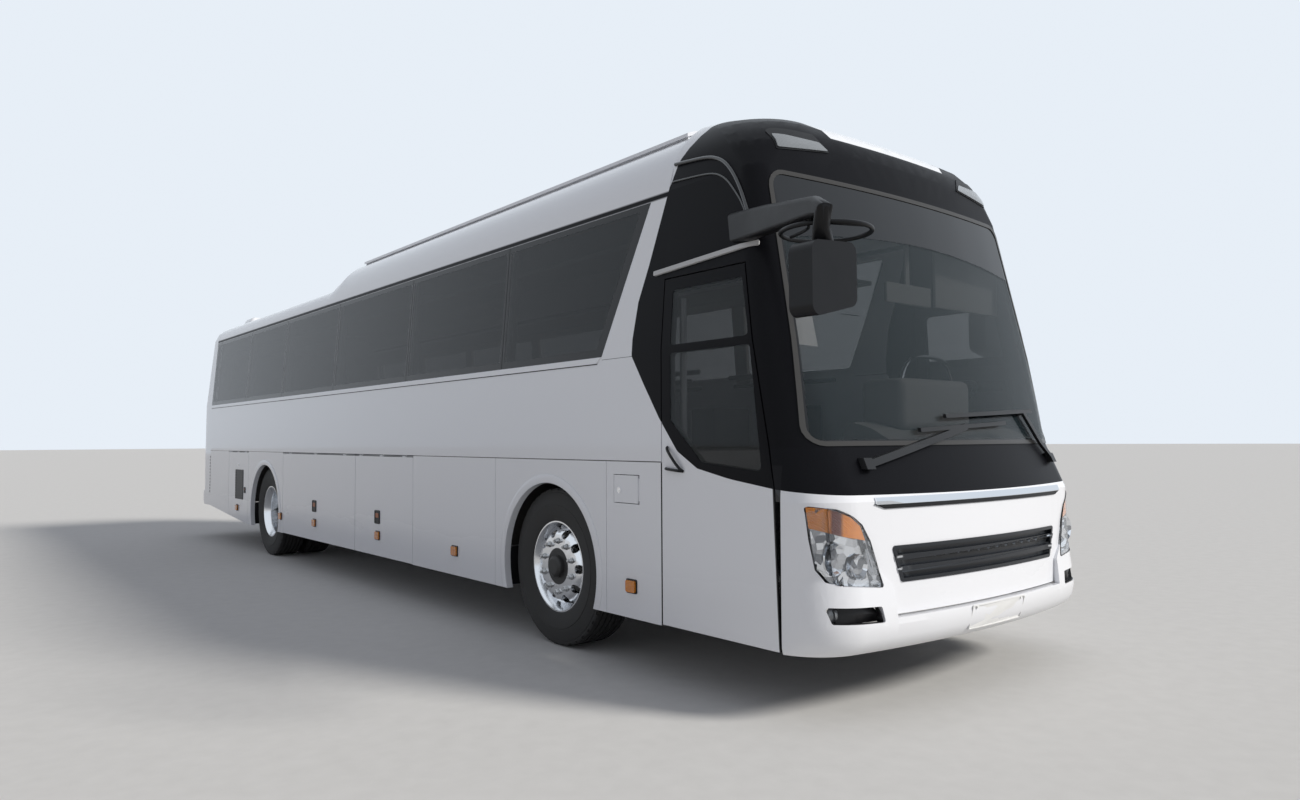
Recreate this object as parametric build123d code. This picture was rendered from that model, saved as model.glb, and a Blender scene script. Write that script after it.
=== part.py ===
from build123d import *
import math
import os

# A touring coach. Millimetres, X to its left, Y to its rear, Z up.
# The origin is on the ground, under the middle of the whole vehicle with its mirrors.

# Overall sizes and places of the wheels
LENGTH = 11920
WIDTH = 2490
MIRROR_REACH = 220
MIRROR_SPREAD = 3300
FRONT_OVERHANG = 2470
WHEELBASE = 6210
Y_REAR = (LENGTH + MIRROR_REACH) / 2
Y_FRONT = Y_REAR - LENGTH
Y_MIRROR = Y_FRONT - MIRROR_REACH
Y_AXLE_F = Y_FRONT + FRONT_OVERHANG
Y_AXLE_R = Y_AXLE_F + WHEELBASE
HALF = WIDTH / 2

# Heights
SKIRT_Z = 320
BELT_Z = 1230
BAND_Z = 1050
GLASS_Z = 1860
CANT_Z = 2780
ROOF_Z = 3060
RAISED_Z = 3300
DECK_Z = 1280
PLATFORM_Z = 950
LUGGAGE_Z = 420

# Skins: wall thicknesses and the lean of the upper side
WALL = 45
ROOF_WALL = 50
SHELL = 30
GLASS = 8
LEAN = 75
HALF_TOP = HALF - LEAN
SEAM = 8

# Roof curves: radius of the shoulder on the low roof and on the raised front roof
SHOULDER = 200
RAISED_SHOULDER = 480
RAISED_LENGTH = 5285
STEP_LENGTH = 320
COVER_RISE = 35
COVER_HALF = 900

# Stations along the side: from the nose, and before or behind an axle
DOOR_START = 400
DOOR_WIDTH = 895
DOOR_END = DOOR_START + DOOR_WIDTH
DOOR_TOP = 2266
DOOR_LEAN = 220
ARCH_AHEAD = 655
ARCH_BEHIND = 690
PANEL_LENGTH = 1390
LUGGAGE_DOOR_1 = 1280
REAR_ARCH_AHEAD = 680
REAR_ARCH_BEHIND = 690
SERVICE_DOOR = 900
REAR_CAP = 690
Y_CAP = Y_FRONT + DOOR_END
Y_PANEL = Y_AXLE_F - ARCH_AHEAD
Y_TANK = Y_AXLE_F + ARCH_BEHIND
Y_BAY = Y_TANK + PANEL_LENGTH
Y_SPLIT = Y_BAY + LUGGAGE_DOOR_1
Y_BAY_END = Y_AXLE_R - REAR_ARCH_AHEAD
Y_SERVICE = Y_AXLE_R + REAR_ARCH_BEHIND
Y_TAIL = Y_SERVICE + SERVICE_DOOR
Y_REAR_CAP = Y_REAR - REAR_CAP

# Wheels and tyres
TYRE_R = 518
TYRE_WIDTH = 295
RIM_R = 292
ARCH_R = 555
HOUSING_R = 640
REAR_HOUSING_R = 600
WHEEL_X = 1040
TWIN_PITCH = 337
KINGPIN_X = 900

TAIL_BOW = 9000

nodes = {}


def keep(name, *shapes):
    """Collect solids under one node's name."""
    for shape in shapes:
        nodes.setdefault(name, []).extend(shape.solids())


def slab(x0, x1, y0, y1, z0, z1):
    block = Box(abs(x1 - x0), abs(y1 - y0), abs(z1 - z0))
    return Pos((x0 + x1) / 2, (y0 + y1) / 2, (z0 + z1) / 2) * block


def rod(start, end, radius):
    axis = Vector(*end) - Vector(*start)
    place = Plane(origin=start, z_dir=axis)
    return place.location * Cylinder(radius, axis.length, align=(Align.CENTER, Align.CENTER, Align.MIN))


def outline(points, radius=0):
    face = make_face(Polyline(*points, close=True))
    if radius:
        face = fillet(face.vertices(), radius)
    return face


def along_x(points, x0, x1, radius=0):
    """Prism between two X planes; the points are (y, z)."""
    return extrude(Plane.YZ.offset(x0) * outline(points, radius), amount=x1 - x0)


def along_y(points, y0, y1, radius=0):
    """Prism between two Y planes; the points are (x, z)."""
    return extrude(Plane.XZ.offset(-y0) * outline(points, radius), amount=y0 - y1)


def along_z(points, z0, z1, radius=0):
    """Prism between two Z planes; the points are (x, y)."""
    return extrude(Plane.XY.offset(z0) * outline(points, radius), amount=z1 - z0)


def both_sides(shape):
    return [shape, mirror(shape, about=Plane.YZ)]


# The cross-section of the body

LEAN_ANGLE = math.atan2(LEAN, CANT_Z - GLASS_Z)


def side_x(z):
    """Half width of the outer skin at a height below the cant rail."""
    return HALF - max(0, z - GLASS_Z) * math.tan(LEAN_ANGLE)


def roof_arcs(shoulder, top):
    """Shoulder centre, and radius and centre height of the crown that is tangent to it."""
    cx = HALF_TOP - shoulder * math.cos(LEAN_ANGLE)
    cz = CANT_Z - shoulder * math.sin(LEAN_ANGLE)
    drop = cz - top
    crown = (cx * cx + drop * drop - shoulder * shoulder) / (-2 * (drop + shoulder))
    return cx, cz, crown, top - crown


def roof_half(shoulder, top, z):
    """Half width of a roof section at a height above the cant rail."""
    cx, cz, crown, centre = roof_arcs(shoulder, top)
    tangent_z = centre + (cz - centre) * crown / (crown - shoulder)
    if z < tangent_z:
        return cx + math.sqrt(shoulder ** 2 - (z - cz) ** 2)
    return math.sqrt(crown ** 2 - (z - centre) ** 2)


def roof_face(shoulder, top, y, inset, skirt=0):
    """A roof section as a face: two shoulders, a crown, and legs down past the cant rail."""
    cx, cz, crown, centre = roof_arcs(shoulder, top)
    s = shoulder - inset
    turn = math.atan2(cz - centre, cx)
    middle = (turn + LEAN_ANGLE) / 2
    foot = (cx + s * math.cos(LEAN_ANGLE), cz + s * math.sin(LEAN_ANGLE))
    leg = (foot[0] + skirt * math.tan(LEAN_ANGLE), foot[1] - skirt)
    mid = (cx + s * math.cos(middle), cz + s * math.sin(middle))
    end = (cx + s * math.cos(turn), cz + s * math.sin(turn))
    edges = [
        Line((-leg[0], leg[1]), leg),
        ThreePointArc(foot, mid, end),
        ThreePointArc(end, (0, centre + crown - inset), (-end[0], end[1])),
        ThreePointArc((-end[0], end[1]), (-mid[0], mid[1]), (-foot[0], foot[1])),
    ]
    if skirt:
        edges += [Line(leg, foot), Line((-foot[0], foot[1]), (-leg[0], leg[1]))]
    return Plane.XZ.offset(-y) * make_face(edges)


def roof_shell(shoulder, top, y0, y1, outer, inner):
    skin = extrude(roof_face(shoulder, top, y0, outer), amount=y0 - y1)
    return skin - extrude(roof_face(shoulder, top, y0, inner, skirt=2 * WALL), amount=y0 - y1)


def side_shell(y0, y1, z0, outer, inner):
    """The left side wall's plate between two depths, up to the cant rail."""
    points = [
        (HALF - inner, z0), (HALF - outer, z0), (HALF - outer, GLASS_Z), (HALF_TOP - outer, CANT_Z),
        (HALF_TOP - inner, CANT_Z), (HALF - inner, GLASS_Z),
    ]
    return along_y(points, y0, y1)


# The nose and the tail, each lofted from plan sections

SCREEN_Z = 1312
NOSE_SHOULDER = 540
NOSE_TOP = 3310
LOW_BOW = 6000
SCREEN_BOW = 7800
# height, setback from the nose at the middle, corner radius, radius of the bow
NOSE_LEVELS = [
    (SKIRT_Z, 90, 300, LOW_BOW), (350, 45, 300, LOW_BOW), (400, 10, 300, LOW_BOW), (460, 0, 300, LOW_BOW),
    (540, 8, 300, LOW_BOW), (680, 26, 300, LOW_BOW),
    (BAND_Z, 40, 300, LOW_BOW), (SCREEN_Z, 160, 300, LOW_BOW),
    (GLASS_Z, 298, 240, 7000), (CANT_Z, 530, 120, SCREEN_BOW), (2936, 562, 230, SCREEN_BOW),
    (3020, 600, 290, SCREEN_BOW), (3090, 655, 330, SCREEN_BOW), (3145, 745, 360, SCREEN_BOW),
    (3195, 885, 380, SCREEN_BOW), (3255, 1085, 350, SCREEN_BOW), (3292, 1312, 240, SCREEN_BOW),
    (3306, 1520, 100, SCREEN_BOW),
]
# The plain face between the lamps, set back from the bumper
PANEL_LEVELS = [(440, 40, 300, LOW_BOW), (BAND_Z, 40, 300, LOW_BOW)]
# height, setback from the tail at the middle, corner radius, radius of the bow
TAIL_LEVELS = [
    (SKIRT_Z, 70, 300, TAIL_BOW), (BELT_Z, 70, 300, TAIL_BOW), (GLASS_Z, 100, 300, TAIL_BOW),
    (CANT_Z, 220, 300, TAIL_BOW), (2880, 270, 300, TAIL_BOW), (2950, 370, 300, TAIL_BOW),
    (3000, 520, 300, TAIL_BOW), (3035, 700, 300, TAIL_BOW), (3055, 900, 200, TAIL_BOW),
]


def plan_face(z, front, half, corner, bow, back):
    """A plan section: a bowed front, two tangent corners, straight sides and a flat back."""
    cx = half - corner
    cy = front + bow - math.sqrt((bow - corner) ** 2 - cx ** 2)
    reach = bow / (bow - corner)
    tx = cx * reach
    ty = front + bow + (cy - front - bow) * reach
    heading = math.atan2(cy - front - bow, cx)
    mx = cx + corner * math.cos(heading / 2)
    my = cy + corner * math.sin(heading / 2)
    edges = [
        Line((half, back), (half, cy)),
        ThreePointArc((half, cy), (mx, my), (tx, ty)),
        ThreePointArc((tx, ty), (0, front), (-tx, ty)),
        ThreePointArc((-tx, ty), (-mx, my), (-half, cy)),
        Line((-half, cy), (-half, back)),
        Line((-half, back), (half, back)),
    ]
    return Plane.XY.offset(z) * make_face(edges)


def nose_half(z):
    return side_x(z) if z <= CANT_Z else roof_half(NOSE_SHOULDER, NOSE_TOP, z)


def tail_half(z):
    return side_x(z) if z <= CANT_Z else roof_half(SHOULDER, ROOF_Z, z)


def capped(levels, half_at, start, back, inset, open_top=False):
    """A solid nose, pointing to -Y: every level is set in by the same depth of wall."""

    def inner(level, z):
        at, setback, corner, bow = level
        return plan_face(z, start + setback + inset, half_at(at) - inset, corner - inset, bow - inset, back)

    faces = []
    last = len(levels) - 1
    for i, (z, setback, corner, bow) in enumerate(levels):
        below = levels[max(i - 1, 0)]
        above = levels[min(i + 1, last)]
        slope = max(0, math.atan2(above[1] - below[1], above[0] - below[0]))
        depth = start + setback + inset * math.cos(slope)
        half = half_at(z) - inset * math.cos(slope) ** 0.5
        drop = inset * math.sin(slope)
        faces.append(plan_face(z - drop, depth, half, max(corner - inset, 40), bow - inset, back))
    if inset > 0:
        faces.insert(0, inner(levels[0], levels[0][0] - 100))
    if inset > 0 and open_top:
        faces[-1] = inner(levels[last], levels[last][0])
        faces.append(inner(levels[last], levels[last][0] + 100))
    return loft(faces, ruled=True)


def nose(inset):
    return capped(NOSE_LEVELS, nose_half, Y_FRONT, Y_CAP + 600, inset)


def front_face(inset):
    return capped(PANEL_LEVELS, side_x, Y_FRONT, Y_CAP + 600, inset, open_top=True)


def tail(inset):
    return mirror(capped(TAIL_LEVELS, tail_half, -Y_REAR, 500 - Y_REAR_CAP, inset), about=Plane.XZ)


# How far cutting prisms reach past what they cut
REACH = 1600

# The nose: one shell, cut into panels, glass, lamps and the door

nose_skin = nose(0) - nose(SHELL)
ahead = slab(-REACH, REACH, Y_MIRROR, Y_CAP, 0, RAISED_Z + 100)
nose_skin = nose_skin & ahead

SCREEN_TOP = 2752
SCREEN_HALF = 1150
SCREEN_HALF_TOP = 1085
SCREEN_CORNER = 90
screen_shape = along_y(
    [(-SCREEN_HALF, SCREEN_Z + 18), (SCREEN_HALF, SCREEN_Z + 18),
     (SCREEN_HALF_TOP, SCREEN_TOP), (-SCREEN_HALF_TOP, SCREEN_TOP)],
    Y_MIRROR, Y_CAP - 250, SCREEN_CORNER)
keep("windscreen", (nose(2) - nose(2 + GLASS)) & screen_shape)

# The front door fills its opening in the right side, less a seam all round
y_door = Y_FRONT + DOOR_START
y_door_end = Y_FRONT + DOOR_END
door_points = [
    (y_door, SKIRT_Z), (y_door + 30, 1100), (y_door + DOOR_LEAN + 30, DOOR_TOP),
    (y_door_end, DOOR_TOP), (y_door_end, SKIRT_Z),
]
door_face = Plane.YZ * outline(door_points)
door_hole = extrude(Plane.YZ.offset(-REACH) * outline(door_points), amount=REACH - 600)
leaf_outline = offset(outline(door_points), amount=-SEAM, kind=Kind.INTERSECTION)
leaf_shape = extrude(Plane.YZ.offset(-REACH) * leaf_outline, amount=REACH - 600)
LEAF = 40
door_glass_points = [
    # upper pane, then lower pane with its cut corner
    [(y_door + 270, 2190), (y_door_end - 80, 2190), (y_door_end - 80, 1880), (y_door + 205, 1880)],
    [(y_door + 195, 1835), (y_door_end - 80, 1835), (y_door_end - 80, 1460),
     (y_door_end - 330, 1235), (y_door + 120, 1195)],
]
leaf = (nose(0) - nose(LEAF)) & leaf_shape
door_glass = nose(2) - nose(2 + GLASS)
for points in door_glass_points:
    hole = along_x(points, -REACH, -600, 25)
    leaf -= hole
    keep("door_glass", door_glass & hole)

# The driver's window is in the left side of the nose
driver_points = [(y_door + 270, 2230), (y_door_end - 80, 2230), (y_door_end - 80, 1500), (y_door + 150, 1500)]
driver_hole = along_x(driver_points, 600, REACH, 40)
keep("side_glass", (nose(2) - nose(2 + GLASS)) & driver_hole)

nose_skin = nose_skin - door_hole - driver_hole
lower_front = slab(-REACH, REACH, Y_MIRROR, y_door, 0, BAND_Z)
cab_side = slab(0, REACH, y_door, Y_CAP, 0, SCREEN_Z)
band_zone = slab(-REACH, REACH, Y_MIRROR, Y_CAP, BAND_Z, SCREEN_Z)

# Headlamps wrap the corners; their outline is drawn in front view for the left one
LAMP_DEPTH = 60
FOG_DEPTH = 30
lamp_points = [
    (859, 638), (1112, 664), (1160, 678), (1190, 735), (1203, 871), (1211, 1036), (1104, 1020), (1038, 989),
    (979, 943), (930, 863),
]
fog_points = [(874, 476), (1152, 485), (1172, 563), (890, 553)]
# outline, and how far the lamp's face lies behind the body's face
front_lamps = [(lamp_points, 1), (fog_points, FOG_DEPTH)]

# The face between the lamps and the bumper under it, in front view
CENTRE_HALF = 792
PANEL_Z = 500
BUMPER_SEAM_Z = 490
face_points = [
    (-CENTRE_HALF, PANEL_Z), (CENTRE_HALF, PANEL_Z), (CENTRE_HALF + 8, 635), (1205, 1000), (1235, BAND_Z),
    (-1235, BAND_Z), (-1205, 1000), (-CENTRE_HALF - 8, 635),
]
face_shape = along_y(face_points, Y_MIRROR, y_door)
face_shell = (front_face(0) - front_face(SHELL)) & face_shape
corners = (nose_skin & lower_front) - face_shape
corners -= slab(-CENTRE_HALF, CENTRE_HALF, Y_MIRROR, Y_CAP, 0, PANEL_Z)
for points, depth in front_lamps:
    body = nose(depth) - nose(depth + LAMP_DEPTH)
    for hole in both_sides(along_y(points, Y_MIRROR, y_door, 12)):
        corners -= hole
        face_shell -= hole
        keep("front_lamps", body & hole & lower_front)
keep("front_corners", corners)
bumper_zone = slab(-CENTRE_HALF, CENTRE_HALF, Y_MIRROR, Y_CAP - 250, 0, BUMPER_SEAM_Z)
ledge_zone = slab(-CENTRE_HALF, CENTRE_HALF, Y_MIRROR, Y_CAP - 250, BUMPER_SEAM_Z - 6, BUMPER_SEAM_Z)
keep("front_bumper", ((nose(0) - nose(SHELL)) & bumper_zone) + ((nose(0) - nose(2 * SHELL)) & ledge_zone))

# The grille sits in its opening: a surround and cross bars that follow the bow
GRILLE_TOP = 831
GRILLE_BOTTOM = 652
GRILLE_HALF = 788
GRILLE_RIM = 18
GRILLE_BARS = 2
GRILLE_BAR = 30
grille_points = [
    (-GRILLE_HALF + 62, GRILLE_BOTTOM), (GRILLE_HALF - 62, GRILLE_BOTTOM),
    (GRILLE_HALF, GRILLE_TOP), (-GRILLE_HALF, GRILLE_TOP),
]
grille_hole = along_y(grille_points, Y_MIRROR, Y_CAP - 250, 16)
grille_inside = extrude(
    Plane.XZ.offset(-Y_MIRROR) * offset(outline(grille_points), amount=-GRILLE_RIM, kind=Kind.INTERSECTION),
    amount=Y_MIRROR - Y_CAP)
grille_ring = (front_face(-6) - front_face(SHELL)) & (grille_hole - grille_inside)
grille = [grille_ring]
bar_pitch = (GRILLE_TOP - GRILLE_BOTTOM) / (GRILLE_BARS + 1)
for i in range(GRILLE_BARS):
    z = GRILLE_BOTTOM + (i + 1) * bar_pitch
    bar = slab(-GRILLE_HALF, GRILLE_HALF, Y_MIRROR, Y_CAP, z - GRILLE_BAR / 2, z + GRILLE_BAR / 2)
    grille.append((front_face(4) - front_face(SHELL)) & bar & grille_inside)
grille_back = (front_face(SHELL) - front_face(SHELL + 6)) & grille_hole
keep("front_trim", Part() + grille + [grille_back])
keep("front_panel", face_shell - grille_hole)

STRIP_Z = 1035
STRIP_HALF = 890
strip = (nose(-9) - nose(0)) & slab(-STRIP_HALF, STRIP_HALF, Y_MIRROR, Y_CAP - 800, STRIP_Z, STRIP_Z + 34)
keep("front_trim", strip)
keep("front_band", (nose_skin & band_zone) - cab_side)
keep("front_corners", nose_skin & cab_side)
mask_zone = slab(-REACH, REACH, Y_MIRROR, Y_CAP, SCREEN_Z, RAISED_Z + 100)
keep("front_mask", (nose_skin & mask_zone) - screen_shape)

# Side walls above the belt, with one band of flush glass down each side

WINDOW_TOP = 2745
WINDOW_START = 1860
WINDOW_LEAN = 400
PILLAR = 90
PANE_GAP = 6
# lengths of the panes along the sill, front to rear; the last one runs to the tail
PANES = [1220, 1630, 1740, 1640, 1440, 1450]
y_glass = Y_FRONT + WINDOW_START
y_glass_end = Y_REAR_CAP - 20
band_points = [
    (y_glass, GLASS_Z), (y_glass_end, GLASS_Z),
    (y_glass_end, WINDOW_TOP), (y_glass - WINDOW_LEAN, WINDOW_TOP),
]
glass_band = along_x(band_points, 600, REACH)
wall = side_shell(Y_CAP, Y_REAR_CAP, BELT_Z, 0, WALL)
panes = side_shell(Y_CAP, Y_REAR_CAP, BELT_Z, 0, GLASS) & glass_band
wall -= side_shell(Y_CAP, Y_REAR_CAP, BELT_Z, -1, GLASS) & glass_band
y = y_glass
for i, length in enumerate(PANES + [y_glass_end - y_glass - sum(PANES)]):
    lean = WINDOW_LEAN if i == 0 else 0
    points = [
        (y + PILLAR / 2, GLASS_Z + 45), (y + length - PILLAR / 2, GLASS_Z + 45),
        (y + length - PILLAR / 2, WINDOW_TOP - 35), (y + PILLAR / 2 - lean, WINDOW_TOP - 35),
    ]
    wall -= along_x(points, 600, REACH, 40)
    y += length
    if i < len(PANES):
        panes -= slab(600, REACH, y - PANE_GAP / 2, y + PANE_GAP / 2, BELT_Z, CANT_Z)
for side, shape in zip(("left", "right"), both_sides(wall)):
    keep("side_wall_" + side, shape)
keep("side_glass", *both_sides(panes))

# Skirts below the belt: fixed panels with wheel arches, and lift-up doors between them

TAIL_RISE = 143
departure = along_x(
    [(Y_SERVICE, 0), (Y_SERVICE, SKIRT_Z), (Y_REAR_CAP, SKIRT_Z + TAIL_RISE),
     (Y_REAR + 100, SKIRT_Z + TAIL_RISE), (Y_REAR + 100, 0)],
    -REACH, REACH)
arches = [rod((-REACH, y, TYRE_R), (REACH, y, TYRE_R), ARCH_R) for y in (Y_AXLE_F, Y_AXLE_R)]
fixed_panels = [
    (Y_CAP, Y_PANEL), (Y_PANEL, Y_TANK), (Y_TANK, Y_BAY), (Y_BAY_END, Y_SERVICE), (Y_TAIL, Y_REAR_CAP),
]
JOINT = 4
HINGE_DROP = 9
HINGE_INSET = 5
KNUCKLE_R = 6
PIN_R = 3
PIN_PLAY = 0.7
KNUCKLE_LENGTH = 60
FLAP_Y = Y_PANEL - 325
FLAP_LENGTH = 250
FLAP_Z = 980
FLAP_HEIGHT = 170
flap_zone = slab(-REACH, -600, FLAP_Y, FLAP_Y + FLAP_LENGTH, FLAP_Z, FLAP_Z + FLAP_HEIGHT)
for y0, y1 in fixed_panels:
    first = 0 if y0 == Y_CAP else JOINT / 2
    last = 0 if y1 == Y_REAR_CAP else JOINT / 2
    panel = side_shell(y0 + first, y1 - last, SKIRT_Z, 0, WALL)
    panel &= slab(600, REACH, y0, y1, 0, BELT_Z)
    for arch in arches:
        panel -= arch
    panel -= departure
    left, right = both_sides(panel)
    keep("skirts", left, right - flap_zone)

hinge_x = HALF - HINGE_INSET
hinge_z = BELT_Z - HINGE_DROP


def lift_door(y0, y1):
    """A door that hangs on a pin along its top edge, and the pin with its lugs."""
    y0 += SEAM / 2
    y1 -= SEAM / 2
    plate = side_shell(y0, y1, SKIRT_Z, 0, WALL - 5) & slab(600, REACH, y0, y1, SKIRT_Z + 4, hinge_z - 7)
    plate -= departure
    pin = rod((hinge_x, y0 + 10, hinge_z), (hinge_x, y1 - 10, hinge_z), PIN_R)
    lugs = []
    for share in (0.12, 0.5, 0.88):
        y = y0 + share * (y1 - y0)
        knuckle = rod((hinge_x, y, hinge_z), (hinge_x, y + KNUCKLE_LENGTH, hinge_z), KNUCKLE_R)
        knuckle += slab(hinge_x - KNUCKLE_R, hinge_x, y, y + KNUCKLE_LENGTH, hinge_z - 10, hinge_z)
        bore = rod((hinge_x, y - 1, hinge_z), (hinge_x, y + KNUCKLE_LENGTH + 1, hinge_z), PIN_R + PIN_PLAY)
        plate += knuckle - bore
        lugs.append(slab(hinge_x - 3, hinge_x + 3, y - 20, y - 8, hinge_z, BELT_Z))
    return plate, pin + lugs


# start and end of each lift-up door, and its name
lift_doors = [
    (Y_BAY, Y_SPLIT, "luggage_door", "_front"),
    (Y_SPLIT, Y_BAY_END, "luggage_door", "_rear"),
    (Y_SERVICE, Y_TAIL, "service_door", ""),
]
for y0, y1, name, place in lift_doors:
    plate, pin = lift_door(y0, y1)
    for side, door, pins in zip(("left", "right"), both_sides(plate), both_sides(pin)):
        keep(name + "_" + side + place, door)
        keep("hinges", pins)

# The filler flap turns on a pin at its front edge
FLAP_GAP = 4
flap_x = -HALF + 6
flap_pin_y = FLAP_Y + 8
flap = slab(-HALF, -HALF + 18, FLAP_Y + 18, FLAP_Y + FLAP_LENGTH - FLAP_GAP, FLAP_Z + FLAP_GAP,
            FLAP_Z + FLAP_HEIGHT - FLAP_GAP)
flap_z0 = FLAP_Z + 20
flap_z1 = FLAP_Z + FLAP_HEIGHT - 20
flap_knuckle = rod((flap_x, flap_pin_y, flap_z0), (flap_x, flap_pin_y, flap_z1), KNUCKLE_R)
flap_knuckle += slab(flap_x, flap_x + KNUCKLE_R, flap_pin_y, FLAP_Y + 20, flap_z0, flap_z1)
flap_bore = rod((flap_x, flap_pin_y, FLAP_Z), (flap_x, flap_pin_y, FLAP_Z + FLAP_HEIGHT), PIN_R + PIN_PLAY)
keep("filler_flap", flap + flap_knuckle - flap_bore)
keep("hinges", rod((flap_x, flap_pin_y, FLAP_Z), (flap_x, flap_pin_y, FLAP_Z + FLAP_HEIGHT), PIN_R))

# The roof: raised over the front half, a sloping step, then the low rear part

y_step = Y_CAP + RAISED_LENGTH
y_low = y_step + STEP_LENGTH


def step_solid(inset, skirt):
    high = roof_face(RAISED_SHOULDER, RAISED_Z, y_step, inset, skirt)
    return loft([high, roof_face(SHOULDER, ROOF_Z, y_low, inset, skirt)], ruled=True)


raised = roof_shell(RAISED_SHOULDER, RAISED_Z, Y_CAP, y_step, 0, ROOF_WALL)
step = step_solid(0, 0) - step_solid(ROOF_WALL, 2 * WALL)
keep("roof_front", raised + step)
keep("roof_rear", roof_shell(SHOULDER, ROOF_Z, y_low, Y_REAR_CAP, 0, ROOF_WALL))

COVER_START = 145
COVER_LIP = 15
COVER_GAP = 14
cover = extrude(roof_face(RAISED_SHOULDER, RAISED_Z, Y_CAP, -COVER_RISE), amount=-RAISED_LENGTH)
cover -= extrude(roof_face(RAISED_SHOULDER, RAISED_Z, Y_CAP, 0, 2 * WALL), amount=-RAISED_LENGTH)
lid = slab(-COVER_HALF, COVER_HALF, Y_CAP + COVER_START, y_step - 60, CANT_Z, RAISED_Z + 100)
foot_half = COVER_HALF - COVER_LIP
foot = slab(-foot_half, foot_half, Y_CAP + COVER_START + COVER_LIP, y_step - 60 - COVER_LIP,
            CANT_Z, RAISED_Z + 100)
thin = extrude(roof_face(RAISED_SHOULDER, RAISED_Z, Y_CAP, -COVER_GAP), amount=-RAISED_LENGTH)
keep("roof_cover", (cover & lid) - ((cover & thin) - foot))

# The tail: one shell with the engine door, rear window and lamps cut from it

BUMPER_TOP = 660
ENGINE_DOOR_HALF = 840
ENGINE_DOOR_TOP = 1560
REAR_GLASS_Z = 1900
REAR_GLASS_HALF = 900
tail_zone = slab(-REACH, REACH, Y_REAR_CAP, Y_REAR + 50, BUMPER_TOP, RAISED_Z)
tail_skin = (tail(0) - tail(SHELL)) & tail_zone
engine_door_points = [
    (-ENGINE_DOOR_HALF, BUMPER_TOP), (ENGINE_DOOR_HALF, BUMPER_TOP),
    (ENGINE_DOOR_HALF, ENGINE_DOOR_TOP), (-ENGINE_DOOR_HALF, ENGINE_DOOR_TOP),
]
engine_hole = along_y(engine_door_points, Y_REAR_CAP, Y_REAR + 50)
rear_glass_points = [
    (-REAR_GLASS_HALF, REAR_GLASS_Z), (REAR_GLASS_HALF, REAR_GLASS_Z),
    (REAR_GLASS_HALF - 60, WINDOW_TOP - 60), (-REAR_GLASS_HALF + 60, WINDOW_TOP - 60),
]
rear_glass_hole = along_y(rear_glass_points, Y_REAR_CAP + 200, Y_REAR + 50, 80)
keep("rear_window", (tail(2) - tail(2 + GLASS)) & rear_glass_hole)
tail_lamp_points = [(985, 700), (1185, 700), (1185, 1180), (985, 1180)]
tail_skin = tail_skin - engine_hole - rear_glass_hole
for hole in both_sides(along_y(tail_lamp_points, Y_REAR_CAP, Y_REAR + 50, 30)):
    keep("tail_lamps", (tail(-4) - tail(SHELL)) & hole)
    tail_skin -= hole
keep("rear_wall", tail_skin)

# height, setback from the tail at the middle, corner radius, radius of the bow
TAIL_BUMPER_LEVELS = [
    (SKIRT_Z + TAIL_RISE, 40, 300, TAIL_BOW), (520, 0, 300, TAIL_BOW), (620, 0, 300, TAIL_BOW),
    (BUMPER_TOP, 30, 300, TAIL_BOW),
]


def tail_bumper(inset):
    shape = capped(TAIL_BUMPER_LEVELS, side_x, -Y_REAR, 500 - Y_REAR_CAP, inset, open_top=True)
    return mirror(shape, about=Plane.XZ)


tail_low = slab(-REACH, REACH, Y_REAR_CAP, Y_REAR, 0, BUMPER_TOP)
keep("rear_bumper", (tail_bumper(0) - tail_bumper(SHELL)) & tail_low)

# The engine door hangs on a pin at its top
ENGINE_HINGE_Y = Y_REAR - 70 - 20
engine_hinge_z = ENGINE_DOOR_TOP - 12
door_half = ENGINE_DOOR_HALF - SEAM
engine_shape = slab(-door_half, door_half, Y_REAR_CAP, Y_REAR + 50, BUMPER_TOP + SEAM, ENGINE_DOOR_TOP - 34)
engine_door = (tail(0) - tail(SHELL)) & engine_shape
keep("engine_door", engine_door)
engine_pin = rod((-ENGINE_DOOR_HALF + 20, ENGINE_HINGE_Y, engine_hinge_z),
                 (ENGINE_DOOR_HALF - 20, ENGINE_HINGE_Y, engine_hinge_z), PIN_R)
engine_hinge = [engine_pin]
for x in (-600, 0, 600):
    x_end = x + KNUCKLE_LENGTH
    knuckle = rod((x, ENGINE_HINGE_Y, engine_hinge_z), (x_end, ENGINE_HINGE_Y, engine_hinge_z), KNUCKLE_R)
    knuckle += slab(x, x_end, ENGINE_HINGE_Y - 40, ENGINE_HINGE_Y, ENGINE_DOOR_TOP - 36, engine_hinge_z - 3)
    bore = rod((x - 1, ENGINE_HINGE_Y, engine_hinge_z),
               (x + KNUCKLE_LENGTH + 1, ENGINE_HINGE_Y, engine_hinge_z), PIN_R + PIN_PLAY)
    nodes["engine_door"] = (Part() + nodes["engine_door"] + knuckle - bore).solids()
    tab = slab(x - 20, x - 8, ENGINE_HINGE_Y - 3, ENGINE_HINGE_Y + 3, engine_hinge_z, ENGINE_DOOR_TOP)
    engine_hinge.append(tab)
keep("hinges", Part() + engine_hinge)

# Floors: the passenger deck, the low platform at the front and the entry steps

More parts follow.
